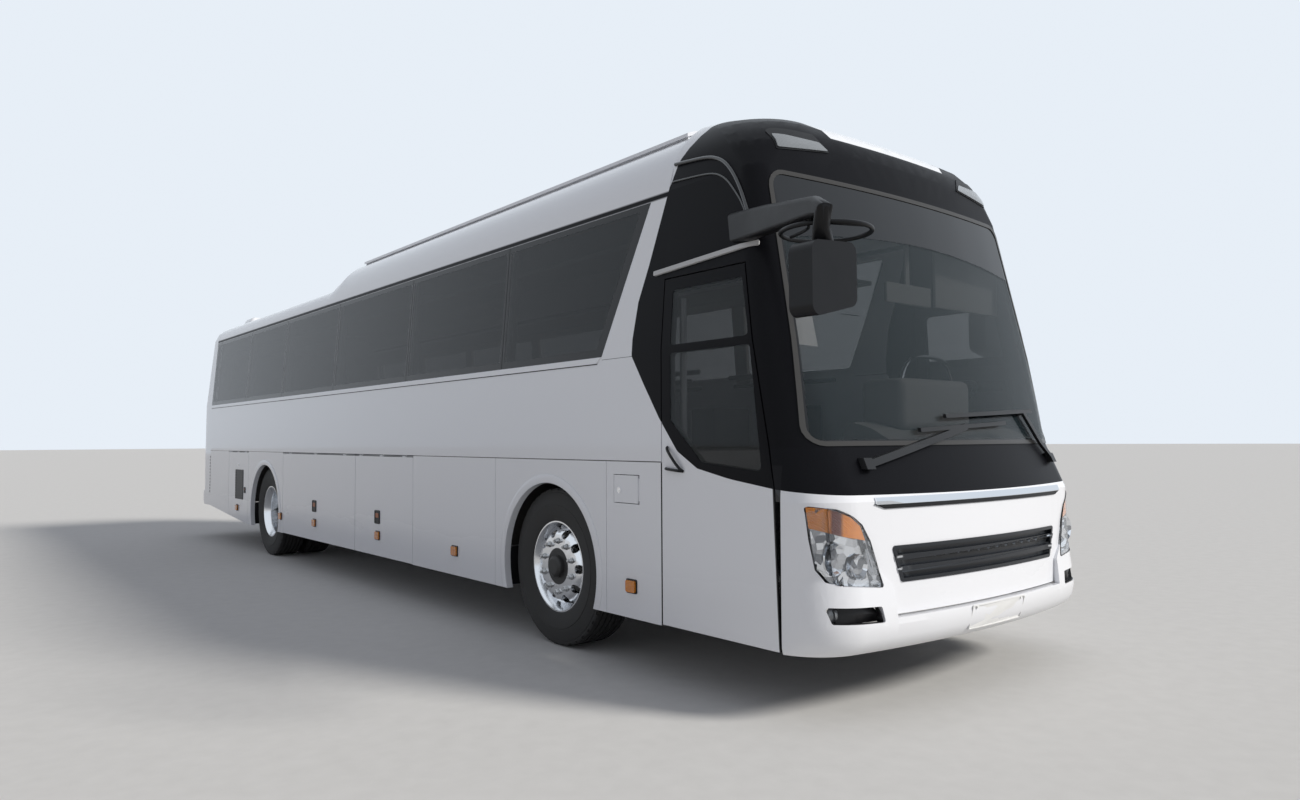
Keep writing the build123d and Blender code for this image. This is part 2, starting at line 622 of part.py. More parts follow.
inner_half = HALF - WALL
Y_PLATFORM = Y_FRONT + 320
Y_DECK = Y_CAP + 150
Y_DECK_END = Y_REAR - 420
PLATE = 30
STEP_WELL = 480
step_xs = [-inner_half + 20, -960, -720, -STEP_WELL]
step_zs = [430, 610, 790]
nose_room = nose(LAMP_DEPTH + 2)
floor = slab(-inner_half, inner_half, Y_DECK, Y_DECK_END, DECK_Z - PLATE, DECK_Z)
floor += slab(-inner_half, inner_half, Y_DECK, Y_DECK + PLATE, PLATFORM_Z - PLATE, DECK_Z)
platform = slab(-inner_half, inner_half, Y_PLATFORM, Y_DECK, PLATFORM_Z - PLATE, PLATFORM_Z)
platform -= slab(-REACH, -STEP_WELL, y_door + 60, y_door_end + 20, 0, DECK_Z)
steps = Part()
for i, z in enumerate(step_zs):
    x0, x1 = step_xs[i], step_xs[i + 1]
    rise = step_zs[i + 1] if i + 1 < len(step_zs) else PLATFORM_Z
    steps += slab(x0, x1, y_door + 90, y_door_end, z - PLATE, z)
    steps += slab(x1 - PLATE, x1, y_door + 90, y_door_end, z - PLATE, rise)
keep("floor", floor + ((platform + steps) & nose_room))

# Luggage bay between the axles: a floor and two end walls under the deck
bay = slab(-inner_half, inner_half, Y_BAY + JOINT, Y_BAY_END - JOINT, LUGGAGE_Z - PLATE, LUGGAGE_Z)
for y in (Y_BAY + JOINT, Y_BAY_END - JOINT - PLATE):
    bay += slab(-inner_half, inner_half, y, y + PLATE, LUGGAGE_Z - PLATE, DECK_Z - PLATE)
keep("luggage_bay", bay)

# Underframe: two rails at each end of the bay, cross members and deck supports

RAIL_X0 = 380
RAIL_X1 = 460
RAIL_Z0 = 700
RAIL_Z1 = 920
RAIL_WEB = 10
y_rail_front = Y_FRONT + 150
y_rail_rear = Y_REAR - 160


def channel(y0, y1):
    """A frame rail: a C section that opens to the middle of the coach."""
    rail = slab(RAIL_X0, RAIL_X1, y0, y1, RAIL_Z0, RAIL_Z1)
    return rail - slab(RAIL_X0, RAIL_X1 - RAIL_WEB, y0, y1, RAIL_Z0 + RAIL_WEB, RAIL_Z1 - RAIL_WEB)


def frame(y0, y1, crosses, supports):
    shape = Part() + both_sides(channel(y0, y1))
    for y in crosses:
        shape += slab(-RAIL_X1, RAIL_X1, y, y + 60, RAIL_Z0 + 20, RAIL_Z1 - 20)
    for y in supports:
        shape += slab(-inner_half, inner_half, y, y + 40, RAIL_Z1 - 60, DECK_Z - PLATE)
    return shape


front_crosses = [y_rail_front, Y_AXLE_F - 800, Y_AXLE_F + 750]
front_supports = [Y_AXLE_F - HOUSING_R - 50, Y_AXLE_F + HOUSING_R + 30]
front_frame = frame(y_rail_front, Y_BAY + JOINT, front_crosses, front_supports)
front_frame -= slab(-REACH, REACH, Y_MIRROR, Y_DECK, PLATFORM_Z - PLATE, DECK_Z)
front_frame += slab(-inner_half + 60, inner_half - 60, Y_PLATFORM + 60, Y_PLATFORM + 120, RAIL_Z1 - 60,
                    PLATFORM_Z - PLATE)
front_frame -= slab(-REACH, -STEP_WELL, y_door + 60, y_door_end + 20, 0, DECK_Z)
# Jacking pads under the front ends of the rails
PAD_THICK = 20
pad_y = Y_AXLE_F + 1600
for pad in both_sides(slab(RAIL_X0, RAIL_X1, pad_y - 60, pad_y + 60, RAIL_Z0 - PAD_THICK, RAIL_Z0)):
    front_frame += pad
rear_crosses = [Y_AXLE_R - 600, Y_AXLE_R + 700]
rear_supports = [Y_AXLE_R + REAR_HOUSING_R + 40, Y_DECK_END - 60]
rear_frame = frame(Y_BAY_END - JOINT, y_rail_rear, rear_crosses, rear_supports)
# Tow eyes under the first and last cross members, each a plate with an upright bore;
# the front one lies behind the lower edge of the bumper, so that a pin goes in from below
TOW_R = 20
TOW_HALF = 50
TOW_PLATE = 30
TOW_Z = 590


def tow_eye(y_member, y_end, y_bore):
    web = slab(-TOW_HALF, TOW_HALF, y_member, y_member + 20, TOW_Z, RAIL_Z0 + 30)
    plate_start = min(y_member, y_end)
    plate_end = max(y_member + 20, y_end)
    plate = slab(-TOW_HALF, TOW_HALF, plate_start, plate_end, TOW_Z, TOW_Z + TOW_PLATE)
    return web + plate - rod((0, y_bore, TOW_Z - 1), (0, y_bore, TOW_Z + TOW_PLATE + 1), TOW_R)


front_frame += tow_eye(y_rail_front + 40, Y_FRONT + 105, Y_FRONT + 150)
rear_frame += slab(-RAIL_X1, RAIL_X1, y_rail_rear - 60, y_rail_rear, RAIL_Z0 + 20, RAIL_Z1 - 20)
rear_frame += tow_eye(y_rail_rear - 20, Y_REAR - 80, Y_REAR - 115)
keep("underframe", front_frame, rear_frame)

# Wheel housings: half-round covers over the wheels with a wall on their inboard side
HOUSING = 8
housings = [
    # axle, radius, inboard wall
    (Y_AXLE_F, HOUSING_R, 505),
    (Y_AXLE_R, REAR_HOUSING_R, 468),
]
for y, radius, x0 in housings:
    cover = rod((x0, y, TYRE_R), (inner_half, y, TYRE_R), radius)
    cover -= rod((x0 + HOUSING, y, TYRE_R), (inner_half, y, TYRE_R), radius - HOUSING)
    cover -= slab(0, REACH, y - radius - 1, y + radius + 1, -TYRE_R, TYRE_R + 85)
    keep("wheel_housings", *both_sides(cover))

# Engine: one plain block between the rear rails
ENGINE_LENGTH = 1500
engine_y = Y_REAR - 700 - ENGINE_LENGTH
keep("engine", slab(-RAIL_X0, RAIL_X0, engine_y, engine_y + ENGINE_LENGTH, 480, 1190))

# Axles

AXLE_Z = TYRE_R
BOSS_R = 50
BOSS_HALF = 70
PIN_KING_R = 20
KING_PLAY = 1
EAR = 30
beam_points = [
    (-KINGPIN_X, AXLE_Z - 55), (-KINGPIN_X + 160, AXLE_Z - 55), (-KINGPIN_X + 290, AXLE_Z - 130),
    (KINGPIN_X - 290, AXLE_Z - 130), (KINGPIN_X - 160, AXLE_Z - 55), (KINGPIN_X, AXLE_Z - 55),
    (KINGPIN_X, AXLE_Z + 55), (KINGPIN_X - 200, AXLE_Z - 20), (-KINGPIN_X + 200, AXLE_Z - 20),
    (-KINGPIN_X, AXLE_Z + 55),
]
beam = along_y(beam_points, Y_AXLE_F - 45, Y_AXLE_F + 45)
for x in (-KINGPIN_X, KINGPIN_X):
    beam += rod((x, Y_AXLE_F, AXLE_Z - BOSS_HALF), (x, Y_AXLE_F, AXLE_Z + BOSS_HALF), BOSS_R)
    beam -= rod((x, Y_AXLE_F, AXLE_Z - 200), (x, Y_AXLE_F, AXLE_Z + 200), PIN_KING_R + KING_PLAY)
SPRING_R = 100
SPRING_X = 355
for x in (-SPRING_X, SPRING_X):
    beam += rod((x, Y_AXLE_F, AXLE_Z - 25), (x, Y_AXLE_F, RAIL_Z0), SPRING_R)
keep("front_axle", beam)

AXLE_TUBE_R = 70
HUB_X = 880
SPINDLE_R = 40
rear_axle = rod((-HUB_X, Y_AXLE_R, AXLE_Z), (HUB_X, Y_AXLE_R, AXLE_Z), AXLE_TUBE_R - 25)
rear_axle += rod((-520, Y_AXLE_R, AXLE_Z), (520, Y_AXLE_R, AXLE_Z), AXLE_TUBE_R)
rear_axle += rod((0, Y_AXLE_R - 180, AXLE_Z), (0, Y_AXLE_R + 200, AXLE_Z), 210)
rear_axle += rod((0, Y_AXLE_R + 150, AXLE_Z + 20), (0, engine_y, AXLE_Z + 20), 45)
for x in (-SPRING_X, SPRING_X):
    rear_axle += rod((x, Y_AXLE_R - 330, AXLE_Z - 40), (x, Y_AXLE_R - 330, RAIL_Z0), SPRING_R)
    rear_axle += slab(x - 40, x + 40, Y_AXLE_R - 330, Y_AXLE_R, AXLE_Z - 40, AXLE_Z + 40)
keep("rear_axle", rear_axle)

# Knuckles swing on the kingpins and carry the front wheels' spindles
SPINDLE_END = 1110
WEB_X = 958
for side, sign in (("left", 1), ("right", -1)):
    x = KINGPIN_X
    low = AXLE_Z - BOSS_HALF - 1 - EAR
    high = AXLE_Z + BOSS_HALF + 1 + EAR
    knuckle = rod((x, Y_AXLE_F, low), (x, Y_AXLE_F, high), PIN_KING_R)
    for z0 in (low, high - EAR):
        knuckle += rod((x, Y_AXLE_F, z0), (x, Y_AXLE_F, z0 + EAR), BOSS_R)
        knuckle += slab(x, WEB_X + 20, Y_AXLE_F - BOSS_R, Y_AXLE_F + BOSS_R, z0, z0 + EAR)
    knuckle += slab(WEB_X, WEB_X + 24, Y_AXLE_F - BOSS_R - 10, Y_AXLE_F + BOSS_R + 10, low, high)
    knuckle += rod((WEB_X, Y_AXLE_F, AXLE_Z), (SPINDLE_END, Y_AXLE_F, AXLE_Z), SPINDLE_R)
    arm_y = Y_AXLE_F + 200
    knuckle += slab(x - 80, x - 30, Y_AXLE_F + BOSS_R + 20, arm_y + 25, low, low + 22)
    knuckle += slab(x - 80, x + 20, Y_AXLE_F + BOSS_R - 20, Y_AXLE_F + BOSS_R + 30, low, low + 22)
    if sign < 0:
        knuckle = mirror(knuckle, about=Plane.YZ)
    keep("knuckle_" + side, knuckle)

# Wheels: tyres and disc wheels revolved about X

TREAD_HALF = 118
BEAD_HALF = 112
# distance from the tyre's middle plane, radius
tyre_profile = [
    (-BEAD_HALF, RIM_R), (-TYRE_WIDTH / 2, 405), (-TREAD_HALF, TYRE_R), (TREAD_HALF, TYRE_R),
    (TYRE_WIDTH / 2, 405), (BEAD_HALF, RIM_R),
]


def turned(points, x, y, z, sign):
    """A ring or disc turned about an axle; the points are (outward distance, radius)."""
    face = make_face(Polyline(*[(sign * dx, r) for dx, r in points], close=True))
    shape = revolve(face, Axis.X)
    return Pos(x, y, z) * shape


HUB_R = 140
HAND_HOLES = 10
HAND_HOLE_R = 30
HAND_CIRCLE_R = 222
SPINDLE_PLAY = 1
# rim barrel, then the disc of a front wheel and of a rear one: (outward distance, radius)
barrel = [
    (-126, 303), (-116, 303), (-116, 291.7), (-98, 291.7), (-60, 262), (40, 262), (98, 291.7), (116, 291.7),
    (116, 303), (126, 303), (126, 290), (104, 276), (50, 250), (-60, 250), (-104, 276), (-126, 290),
]
front_disc = [
    (50, 252), (96, 240), (120, 210), (124, 120), (124, 60),
    (98, 60), (98, 120), (92, 200), (74, 224), (30, 251),
]
hub_bore = SPINDLE_R + SPINDLE_PLAY
front_hub = [(-30, hub_bore), (-30, HUB_R), (90, HUB_R), (124, 110), (124, hub_bore)]
front_cap = [(98, 0), (98, 75), (150, 70), (165, 48), (165, 0)]
rear_disc = [
    (-40, 252), (-96, 236), (-140, 190), (-150, 150), (-150, 60), (-168.5, 60), (-168.5, 160), (-158, 200),
    (-110, 250), (-60, 258),
]
rear_hub = [(-62, 0), (-62, 80), (-150, 105), (-168.5, 105), (-168.5, 0)]


def hand_holes(x):
    """Round hand holes through a disc, on one circle."""
    holes = []
    for i in range(HAND_HOLES):
        turn = 2 * math.pi * i / HAND_HOLES
        y = HAND_CIRCLE_R * math.cos(turn)
        z = HAND_CIRCLE_R * math.sin(turn)
        holes.append(rod((x - 90, y, z), (x + 90, y, z), HAND_HOLE_R))
    return holes


front_profiles = (barrel, front_disc, front_hub, front_cap)
front_wheel = Part() + [turned(p, 0, 0, 0, 1) for p in front_profiles] - hand_holes(90)
outer_wheel = Part() + [turned(p, 0, 0, 0, 1) for p in (barrel, rear_disc)] - hand_holes(-130)
inner_wheel = Pos(-TWIN_PITCH, 0, 0) * mirror(outer_wheel, about=Plane.YZ)
DRUM_X = 620
DRUM_R = 175
SPINDLE_REAR_R = AXLE_TUBE_R - 25
twin = outer_wheel + inner_wheel + turned(rear_hub, 0, 0, 0, 1)
twin += rod((DRUM_X - WHEEL_X, 0, 0), (-TWIN_PITCH / 2, 0, 0), DRUM_R)
twin -= rod((DRUM_X - WHEEL_X - 1, 0, 0), (HUB_X - WHEEL_X + 4, 0, 0), SPINDLE_REAR_R + SPINDLE_PLAY)
tyre = turned(tyre_profile, 0, 0, 0, 1)
twin_tyres = [tyre, Pos(-TWIN_PITCH, 0, 0) * tyre]
wheel_sets = [
    # axle, wheel, tyres, name
    (Y_AXLE_F, front_wheel, [tyre], "front"),
    (Y_AXLE_R, twin, twin_tyres, "rear"),
]
for y, wheel, tyres, name in wheel_sets:
    place = Pos(WHEEL_X, y, AXLE_Z)
    for side, shape in zip(("left", "right"), both_sides(place * wheel)):
        keep(f"wheel_{name}_{side}", shape)
    for one in tyres:
        for side, shape in zip(("left", "right"), both_sides(place * one)):
            keep(f"tyre_{name}_{side}", shape)

# Front door leaf: brackets on its inside, and the arms that swing it out and back

POST_X = -1140
post_y = y_door_end - 75
PIVOT_X = -1120
pivot_y = post_y - 400
ELBOW_X = -971
elbow_y = post_y - 79
ARM_ZS = (930, 1880)
ARM_R = 15
POST_R = 20
leaf_parts = [leaf]
arms = [rod((POST_X, post_y, step_zs[0] + 0.5), (POST_X, post_y, 2150), POST_R)]
for z in ARM_ZS:
    arms.append(rod((POST_X, post_y, z), (ELBOW_X, elbow_y, z), ARM_R))
    arms.append(rod((ELBOW_X, elbow_y, z - ARM_R), (ELBOW_X, elbow_y, z + ARM_R), ARM_R))
    arms.append(rod((ELBOW_X, elbow_y, z), (PIVOT_X, pivot_y, z), ARM_R))
    arms.append(rod((PIVOT_X, pivot_y, z - ARM_R), (PIVOT_X, pivot_y, z + ARM_R), ARM_R + 7))
    z_lug = z - ARM_R - 14
    leaf_parts.append(slab(-HALF + LEAF - 4, PIVOT_X + 15, pivot_y - 20, pivot_y + 20, z_lug, z_lug + 12))
    leaf_parts.append(rod((PIVOT_X, pivot_y, z - ARM_R - 14), (PIVOT_X, pivot_y, z + ARM_R + 6), 8))
arm_shape = Part() + arms
for z in ARM_ZS:
    arm_shape -= rod((PIVOT_X, pivot_y, z - 40), (PIVOT_X, pivot_y, z + 40), 9)
keep("door_arms", arm_shape)
keep("front_door", Part() + leaf_parts)

# Tie rod between the steering arms
TIE_X = KINGPIN_X - 55
tie_z = AXLE_Z - BOSS_HALF - 1 - EAR - 16
tie = rod((-TIE_X, arm_y, tie_z), (TIE_X, arm_y, tie_z), 14)
for x in (-TIE_X, TIE_X):
    tie += rod((x, arm_y, tie_z - 15), (x, arm_y, tie_z + 15.7), 24)
keep("tie_rod", tie)

# Cab: dashboard, steering wheel on a raked column, driver's seat

WHEEL_CENTRE = (640, Y_FRONT + 710, 1590)
RAKE = math.radians(32)
column_axis = Vector(0, math.sin(RAKE), math.cos(RAKE))
place = Plane(origin=WHEEL_CENTRE, x_dir=(1, 0, 0), z_dir=column_axis)
RING_R = 215
ring = Torus(RING_R, 14) + Pos(0, 0, -20) * Cylinder(55, 50)
for turn in (90, 210, 330):
    ring += Rot(0, 0, turn) * (Pos(RING_R / 2, 0, -12) * Box(RING_R, 34, 12))
keep("steering_wheel", place.location * ring)
dash_points = [
    (Y_FRONT + 250, PLATFORM_Z), (Y_FRONT + 250, 1290), (Y_FRONT + 480, 1410), (Y_FRONT + 620, 1450),
    (Y_FRONT + 680, 1380), (Y_FRONT + 620, PLATFORM_Z),
]
dash = along_x(dash_points, -420, 1190, 20) & nose_room
column_end = Vector(*WHEEL_CENTRE) - column_axis * 46
column_foot = column_end - column_axis * 420
dash += rod(tuple(column_foot), tuple(column_end), 28)
keep("dashboard", dash)

# Seats: a driver's seat, then rows of double seats on the deck, each with two backs

SEAT_ROWS = 11
ROW_PITCH = 780
SEAT_HALF = 210
SEAT_DEPTH = 440
SEAT_HEIGHT = 450
CUSHION = 120
BACK_HEIGHT = 720
BACK_THICK = 110
BACK_LEAN = 150
AISLE = 300
y_row = Y_CAP + 560


def seat(x0, width, y, floor, backs):
    base = slab(x0 + width / 4, x0 + 3 * width / 4, y + 100, y + 380, floor, floor + SEAT_HEIGHT - CUSHION)
    base += slab(x0, x0 + width, y, y + SEAT_DEPTH, floor + SEAT_HEIGHT - CUSHION, floor + SEAT_HEIGHT)
    keep("seats", base)
    y1 = y + SEAT_DEPTH
    z0 = floor + SEAT_HEIGHT - CUSHION
    z1 = z0 + BACK_HEIGHT + CUSHION
    y_top = y1 + BACK_LEAN
    points = [(y1, z0), (y1 + BACK_THICK, z0), (y_top + BACK_THICK - 40, z1), (y_top - 10, z1)]
    for i in range(backs):
        start = x0 + i * width / backs + 4
        keep("seats", along_x(points, start, start + width / backs - 8))


for i in range(SEAT_ROWS):
    for x0 in (AISLE, -AISLE - 4 * SEAT_HALF):
        seat(x0, 4 * SEAT_HALF, y_row + i * ROW_PITCH, DECK_Z, 2)
SEAT_BOX = 100
DRIVER_HALF = 240
seat_y = Y_FRONT + 980
seat(WHEEL_CENTRE[0] - DRIVER_HALF, 2 * DRIVER_HALF, seat_y, PLATFORM_Z + SEAT_BOX, 1)
box_half = DRIVER_HALF + 20
seat_box = slab(-box_half, box_half, seat_y - 20, Y_DECK - 10, PLATFORM_Z, PLATFORM_Z + SEAT_BOX)
keep("seats", Pos(WHEEL_CENTRE[0], 0, 0) * seat_box)

# Luggage racks above the seats
RACK_Z = 2520
RACK_X = 800
RACK_THICK = 30
rack_points = [
    (RACK_X, RACK_Z), (side_x(RACK_Z) - WALL, RACK_Z),
    (side_x(RACK_Z + RACK_THICK) - WALL, RACK_Z + RACK_THICK),
    (RACK_X + 30, RACK_Z + RACK_THICK), (RACK_X + 10, RACK_Z + 110), (RACK_X - 20, RACK_Z + 110),
]
keep("luggage_racks", *both_sides(along_y(rack_points, Y_DECK + 200, Y_REAR_CAP - 100)))

# Mirrors: a long arm ahead of the right corner, a short one on the left side

HEAD_WIDTH = 290
HEAD_DEPTH = 130
HEAD_TOP = 2200
HEAD_LOW = 1855
HEAD_RISE = 72
HEAD_CORNER = 45
head_x = MIRROR_SPREAD / 2 - HEAD_WIDTH / 2
HEAD_Y = Y_MIRROR + 115
ELBOW_R = 45
# The right arm's sections, root to head: place, direction, width and height
arm_sections = [
    ((-1130, Y_FRONT + 840, 2472), (-0.39, -0.91, -0.13), 80, 170),
    ((-1330, Y_FRONT + 380, 2412), (-0.39, -0.91, -0.13), 72, 140),
    ((-1560, Y_MIRROR + 105, 2336), (-0.39, -0.91, -0.13), 66, 92),
    ((-1590, Y_MIRROR + 37, 2306), (-0.25, -0.45, -0.86), 70, 76),
    ((-1555, Y_MIRROR + 80, 2250), (0.45, 0.3, -0.84), 72, 70),
    ((-1510, Y_MIRROR + 110, 2180), (0.45, 0.3, -0.84), 96, 70),
]


def mirror_head(x, y, z):
    """A rounded housing whose lower edge rises toward the coach; x is negative on the right side."""
    side = math.copysign(1, x)
    face = outline([
        (x - side * HEAD_WIDTH / 2, z + HEAD_RISE), (x - side * HEAD_WIDTH / 2, z + HEAD_TOP - HEAD_LOW),
        (x + side * HEAD_WIDTH / 2, z + HEAD_TOP - HEAD_LOW - 20), (x + side * HEAD_WIDTH / 2, z),
    ], HEAD_CORNER)
    return extrude(Plane.XZ.offset(-y + HEAD_DEPTH / 2) * face, amount=-HEAD_DEPTH)


faces = []
for place, direction, width, height in arm_sections:
    section = Plane(origin=place, x_dir=Vector(0, 0, 1).cross(Vector(*direction)), z_dir=direction)
    faces.append(section * RectangleRounded(width, height, 24))
right_arm = loft(faces, ruled=True) + mirror_head(-head_x, HEAD_Y, HEAD_LOW)
LEFT_ARM_Z = 2400
LEFT_ARM_R = 34
left_y = Y_FRONT + 900
left_elbow = (head_x - 40, left_y, LEFT_ARM_Z)
left_arm = rod((side_x(LEFT_ARM_Z) - 10, left_y + 30, LEFT_ARM_Z), left_elbow, LEFT_ARM_R)
left_arm += Pos(left_elbow) * Sphere(LEFT_ARM_R + 4)
left_arm += rod(left_elbow, (head_x - 40, left_y, HEAD_TOP), LEFT_ARM_R)
left_arm += mirror_head(head_x, left_y, HEAD_LOW + 60)
keep("mirrors", right_arm - nose(0), left_arm - nose(0))

# Wipers: two blades that lie along the foot of the windscreen on arms from the black band
WIPER_FAR = 34
WIPER_NEAR = 14
BLADE = 22
WIPER_ARM = 34
wiper_zone = slab(-REACH, REACH, Y_MIRROR, Y_CAP - 700, BAND_Z, GLASS_Z)
wiper_shell = (nose(-WIPER_FAR) - nose(-WIPER_NEAR)) & wiper_zone
pivot_shell = (nose(-WIPER_FAR) - nose(0)) & slab(-REACH, REACH, Y_MIRROR, Y_CAP - 700, BAND_Z, GLASS_Z)


def strip_between(start, end, width):
    """A straight strip in front view between two points (x, z)."""
    run = Vector(end[0] - start[0], end[1] - start[1])
    side = Vector(-run.Y, run.X).normalized() * (width / 2)
    corners = [(start[0] - side.X, start[1] - side.Y), (end[0] - side.X, end[1] - side.Y),
               (end[0] + side.X, end[1] + side.Y), (start[0] + side.X, start[1] + side.Y)]
    return along_y(corners, Y_MIRROR, Y_CAP - 700)


wipers = [
    # pivot, where the arm meets the blade, ends of the blade
    ((-870, 1230), (-5, 1418), (-423, 1398), (436, 1441)),
    ((960, 1230), (720, 1510), (-181, 1474), (840, 1519)),
]
for pivot, joint, start, end in wipers:
    wiper = wiper_shell & (strip_between(start, end, BLADE) + strip_between(pivot, joint, WIPER_ARM))
    wiper += pivot_shell & along_y([(pivot[0] - 28, 1205), (pivot[0] + 28, 1205), (pivot[0] + 28, 1260),
                                    (pivot[0] - 28, 1260)], Y_MIRROR, Y_CAP - 700)
    keep("wipers", wiper)

# Write one file for each node

os.makedirs("parts", exist_ok=True)
for name, solids in nodes.items():
    export_step(Compound(children=solids), f"parts/{name}.step")
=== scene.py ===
import math

import bmesh
import bpy
from mathutils import Matrix, Vector
from mathutils.bvhtree import BVHTree


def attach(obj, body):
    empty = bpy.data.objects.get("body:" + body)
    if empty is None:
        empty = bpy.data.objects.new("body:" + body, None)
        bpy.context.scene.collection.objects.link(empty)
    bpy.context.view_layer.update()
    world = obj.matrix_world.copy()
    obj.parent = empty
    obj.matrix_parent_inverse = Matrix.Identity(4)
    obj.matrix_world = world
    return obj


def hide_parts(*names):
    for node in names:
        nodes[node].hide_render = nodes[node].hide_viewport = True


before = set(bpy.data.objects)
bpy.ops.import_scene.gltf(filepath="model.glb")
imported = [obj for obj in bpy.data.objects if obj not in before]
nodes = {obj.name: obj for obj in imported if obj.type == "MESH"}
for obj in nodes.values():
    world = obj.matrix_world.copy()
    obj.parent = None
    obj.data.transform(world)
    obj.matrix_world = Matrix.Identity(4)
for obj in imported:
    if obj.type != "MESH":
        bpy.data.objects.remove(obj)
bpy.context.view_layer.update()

# The yard: a pale floor under a pale sky, with the camera low in front of the coach's right corner.
# The sun is soft and stands ahead of the coach on its left, so the front is lit and the side is in shade.
IMAGE_WIDTH = 1300
FOCAL_PIXELS = 905.65
SENSOR = 36.0
EYE = Vector((-4.5002, -8.4667, 1.3586))
AHEAD = Vector((0.6298, 0.7755, 0.0429)).normalized()
DOWN = Vector((0.0230, 0.0366, -0.9991))
up = -(DOWN - AHEAD * DOWN.dot(AHEAD)).normalized()


def placed(name, data):
    """A new object in the scene, at the origin."""
    made = bpy.data.objects.new(name, data)
    bpy.context.scene.collection.objects.link(made)
    return made


camera = placed("camera", bpy.data.cameras.new("camera"))
camera.data.sensor_width = SENSOR
camera.data.lens = SENSOR * FOCAL_PIXELS / IMAGE_WIDTH
camera.data.clip_end = 500
across = AHEAD.cross(up)
camera.matrix_world = Matrix((
    (across.x, up.x, -AHEAD.x, EYE.x),
    (across.y, up.y, -AHEAD.y, EYE.y),
    (across.z, up.z, -AHEAD.z, EYE.z),
    (0, 0, 0, 1)))
bpy.context.scene.camera = camera
bpy.context.scene.view_settings.view_transform = "Standard"


class Value:
    """A socket of a finish. Sums and products of values become the finish's own maths."""

    def __init__(self, finish, socket):
        self.finish = finish
        self.socket = socket

    def maths(self, operation, *others):
        return self.finish.node("ShaderNodeMath", {"operation": operation}, dict(enumerate((self, *others))))

    def __add__(self, other):
        return self.maths("ADD", other)

    def __sub__(self, other):
        return self.maths("SUBTRACT", other)

    def __rsub__(self, other):
        return self * -1 + other

    def __mul__(self, other):
        return self.maths("MULTIPLY", other)

    def __truediv__(self, other):
        return self.maths("DIVIDE", other)

    __radd__ = __add__

    def __abs__(self):
        return self.maths("ABSOLUTE")

    def between(self, low, high):
        """0 below low, 1 above high, and an even slope from one to the other."""
        return self.finish.node("ShaderNodeMapRange", {"clamp": True}, {0: self, 1: low, 2: high})

    def near(self, at, half):
        """1 within half a width of a place, and 0 outside it."""
        return abs(self - at).between(half, half * 0.5)

    def either(self, other):
        return self.maths("MAXIMUM", other)


class Finish:
    """A material with one main shader, and the object's own x, y and z to draw on it with."""

    def __init__(self, name, colour, roughness, **fixed):
        self.material = bpy.data.materials.new(name)
        self.material.use_nodes = True
        self.nodes = self.material.node_tree.nodes
        self.links = self.material.node_tree.links
        self.shader = self.nodes["Principled BSDF"]
        self.place = self.node("ShaderNodeTexCoord", {}, {}, "Object")
        self.x, self.y, self.z = (
            self.node("ShaderNodeSeparateXYZ", {}, {0: self.place}, i) for i in range(3))
        self.shader.inputs["Base Color"].default_value = (*colour, 1)
        self.shader.inputs["Roughness"].default_value = roughness
        for socket, value in fixed.items():
            self.shader.inputs[socket.replace("_", " ")].default_value = value

    def node(self, kind, settings, values, out=0):
        """Any node: its settings first, then a number, colour or value for each of its sockets."""
        made = self.nodes.new(kind)
        for setting, choice in settings.items():
            if setting == "stops":
                ramp = made.color_ramp.elements
                while len(ramp) < len(choice):
                    ramp.new(0.5)
                for element, (position, colour) in zip(ramp, choice):
                    element.position = position
                    element.color = colour if hasattr(colour, "__len__") else (colour, colour, colour, 1)
            else:
                setattr(made, setting, choice)
        for socket, value in values.items():
            if isinstance(value, Value):
                self.links.new(value.socket, made.inputs[socket])
            else:
                made.inputs[socket].default_value = value
        return Value(self, made.outputs[out])

    def drive(self, socket, value):
        self.links.new(value.socket, self.shader.inputs[socket])
        return self

    def noise(self, scale, detail, stretch=(1, 1, 1)):
        place = self.node("ShaderNodeMapping", {}, {0: self.place, "Scale": stretch})
        return self.node("ShaderNodeTexNoise", {}, {0: place, "Scale": scale, "Detail": detail})

    def blend(self, share, first, second):
        """A colour between two, at a share from 0 to 1."""
        first, second = ((*c, 1) if isinstance(c, tuple) else c for c in (first, second))
        return self.node("ShaderNodeMix", {"data_type": "RGBA"}, {0: share, 6: first, 7: second}, 2)

    def relief(self, height, depth, strength):
        """Fine relief of a height map, depth metres from its lowest to its highest."""
        bump = self.node("ShaderNodeBump", {}, {"Height": height, "Distance": depth, "Strength": strength})
        return self.drive("Normal", bump)

    def grained(self, scale, detail, depth, strength):
        """An even grain all over."""
        return self.relief(self.noise(scale, detail), depth, strength)

    def glancing(self, blend):
        """0 where the surface is seen square on, rising to 1 where it is seen edge on."""
        return self.node("ShaderNodeLayerWeight", {}, {0: blend}, 1)


yard = Finish("yard_floor", (0.60, 0.59, 0.57), 0.9)
yard.drive("Base Color", yard.blend(yard.noise(9, 6), (0.60, 0.59, 0.57), (0.68, 0.67, 0.65)))
ground = bmesh.new()
bmesh.ops.create_circle(ground, cap_ends=True, segments=96, radius=180)
ground_mesh = bpy.data.meshes.new("yard_floor")
ground.to_mesh(ground_mesh)
ground.free()
ground_mesh.materials.append(yard.material)
placed("yard_floor", ground_mesh)

world = bpy.data.worlds.new("sky")
bpy.context.scene.world = world
world.use_nodes = True
sky = world.node_tree
rays = sky.nodes.new("ShaderNodeLightPath").outputs
seen = rays["Is Camera Ray"]
for ray in ("Is Glossy Ray", "Is Transmission Ray"):
    either = sky.nodes.new("ShaderNodeMath")
    either.operation = "MAXIMUM"
    sky.links.new(seen, either.inputs[0])
    sky.links.new(rays[ray], either.inputs[1])
    seen = either.outputs[0]
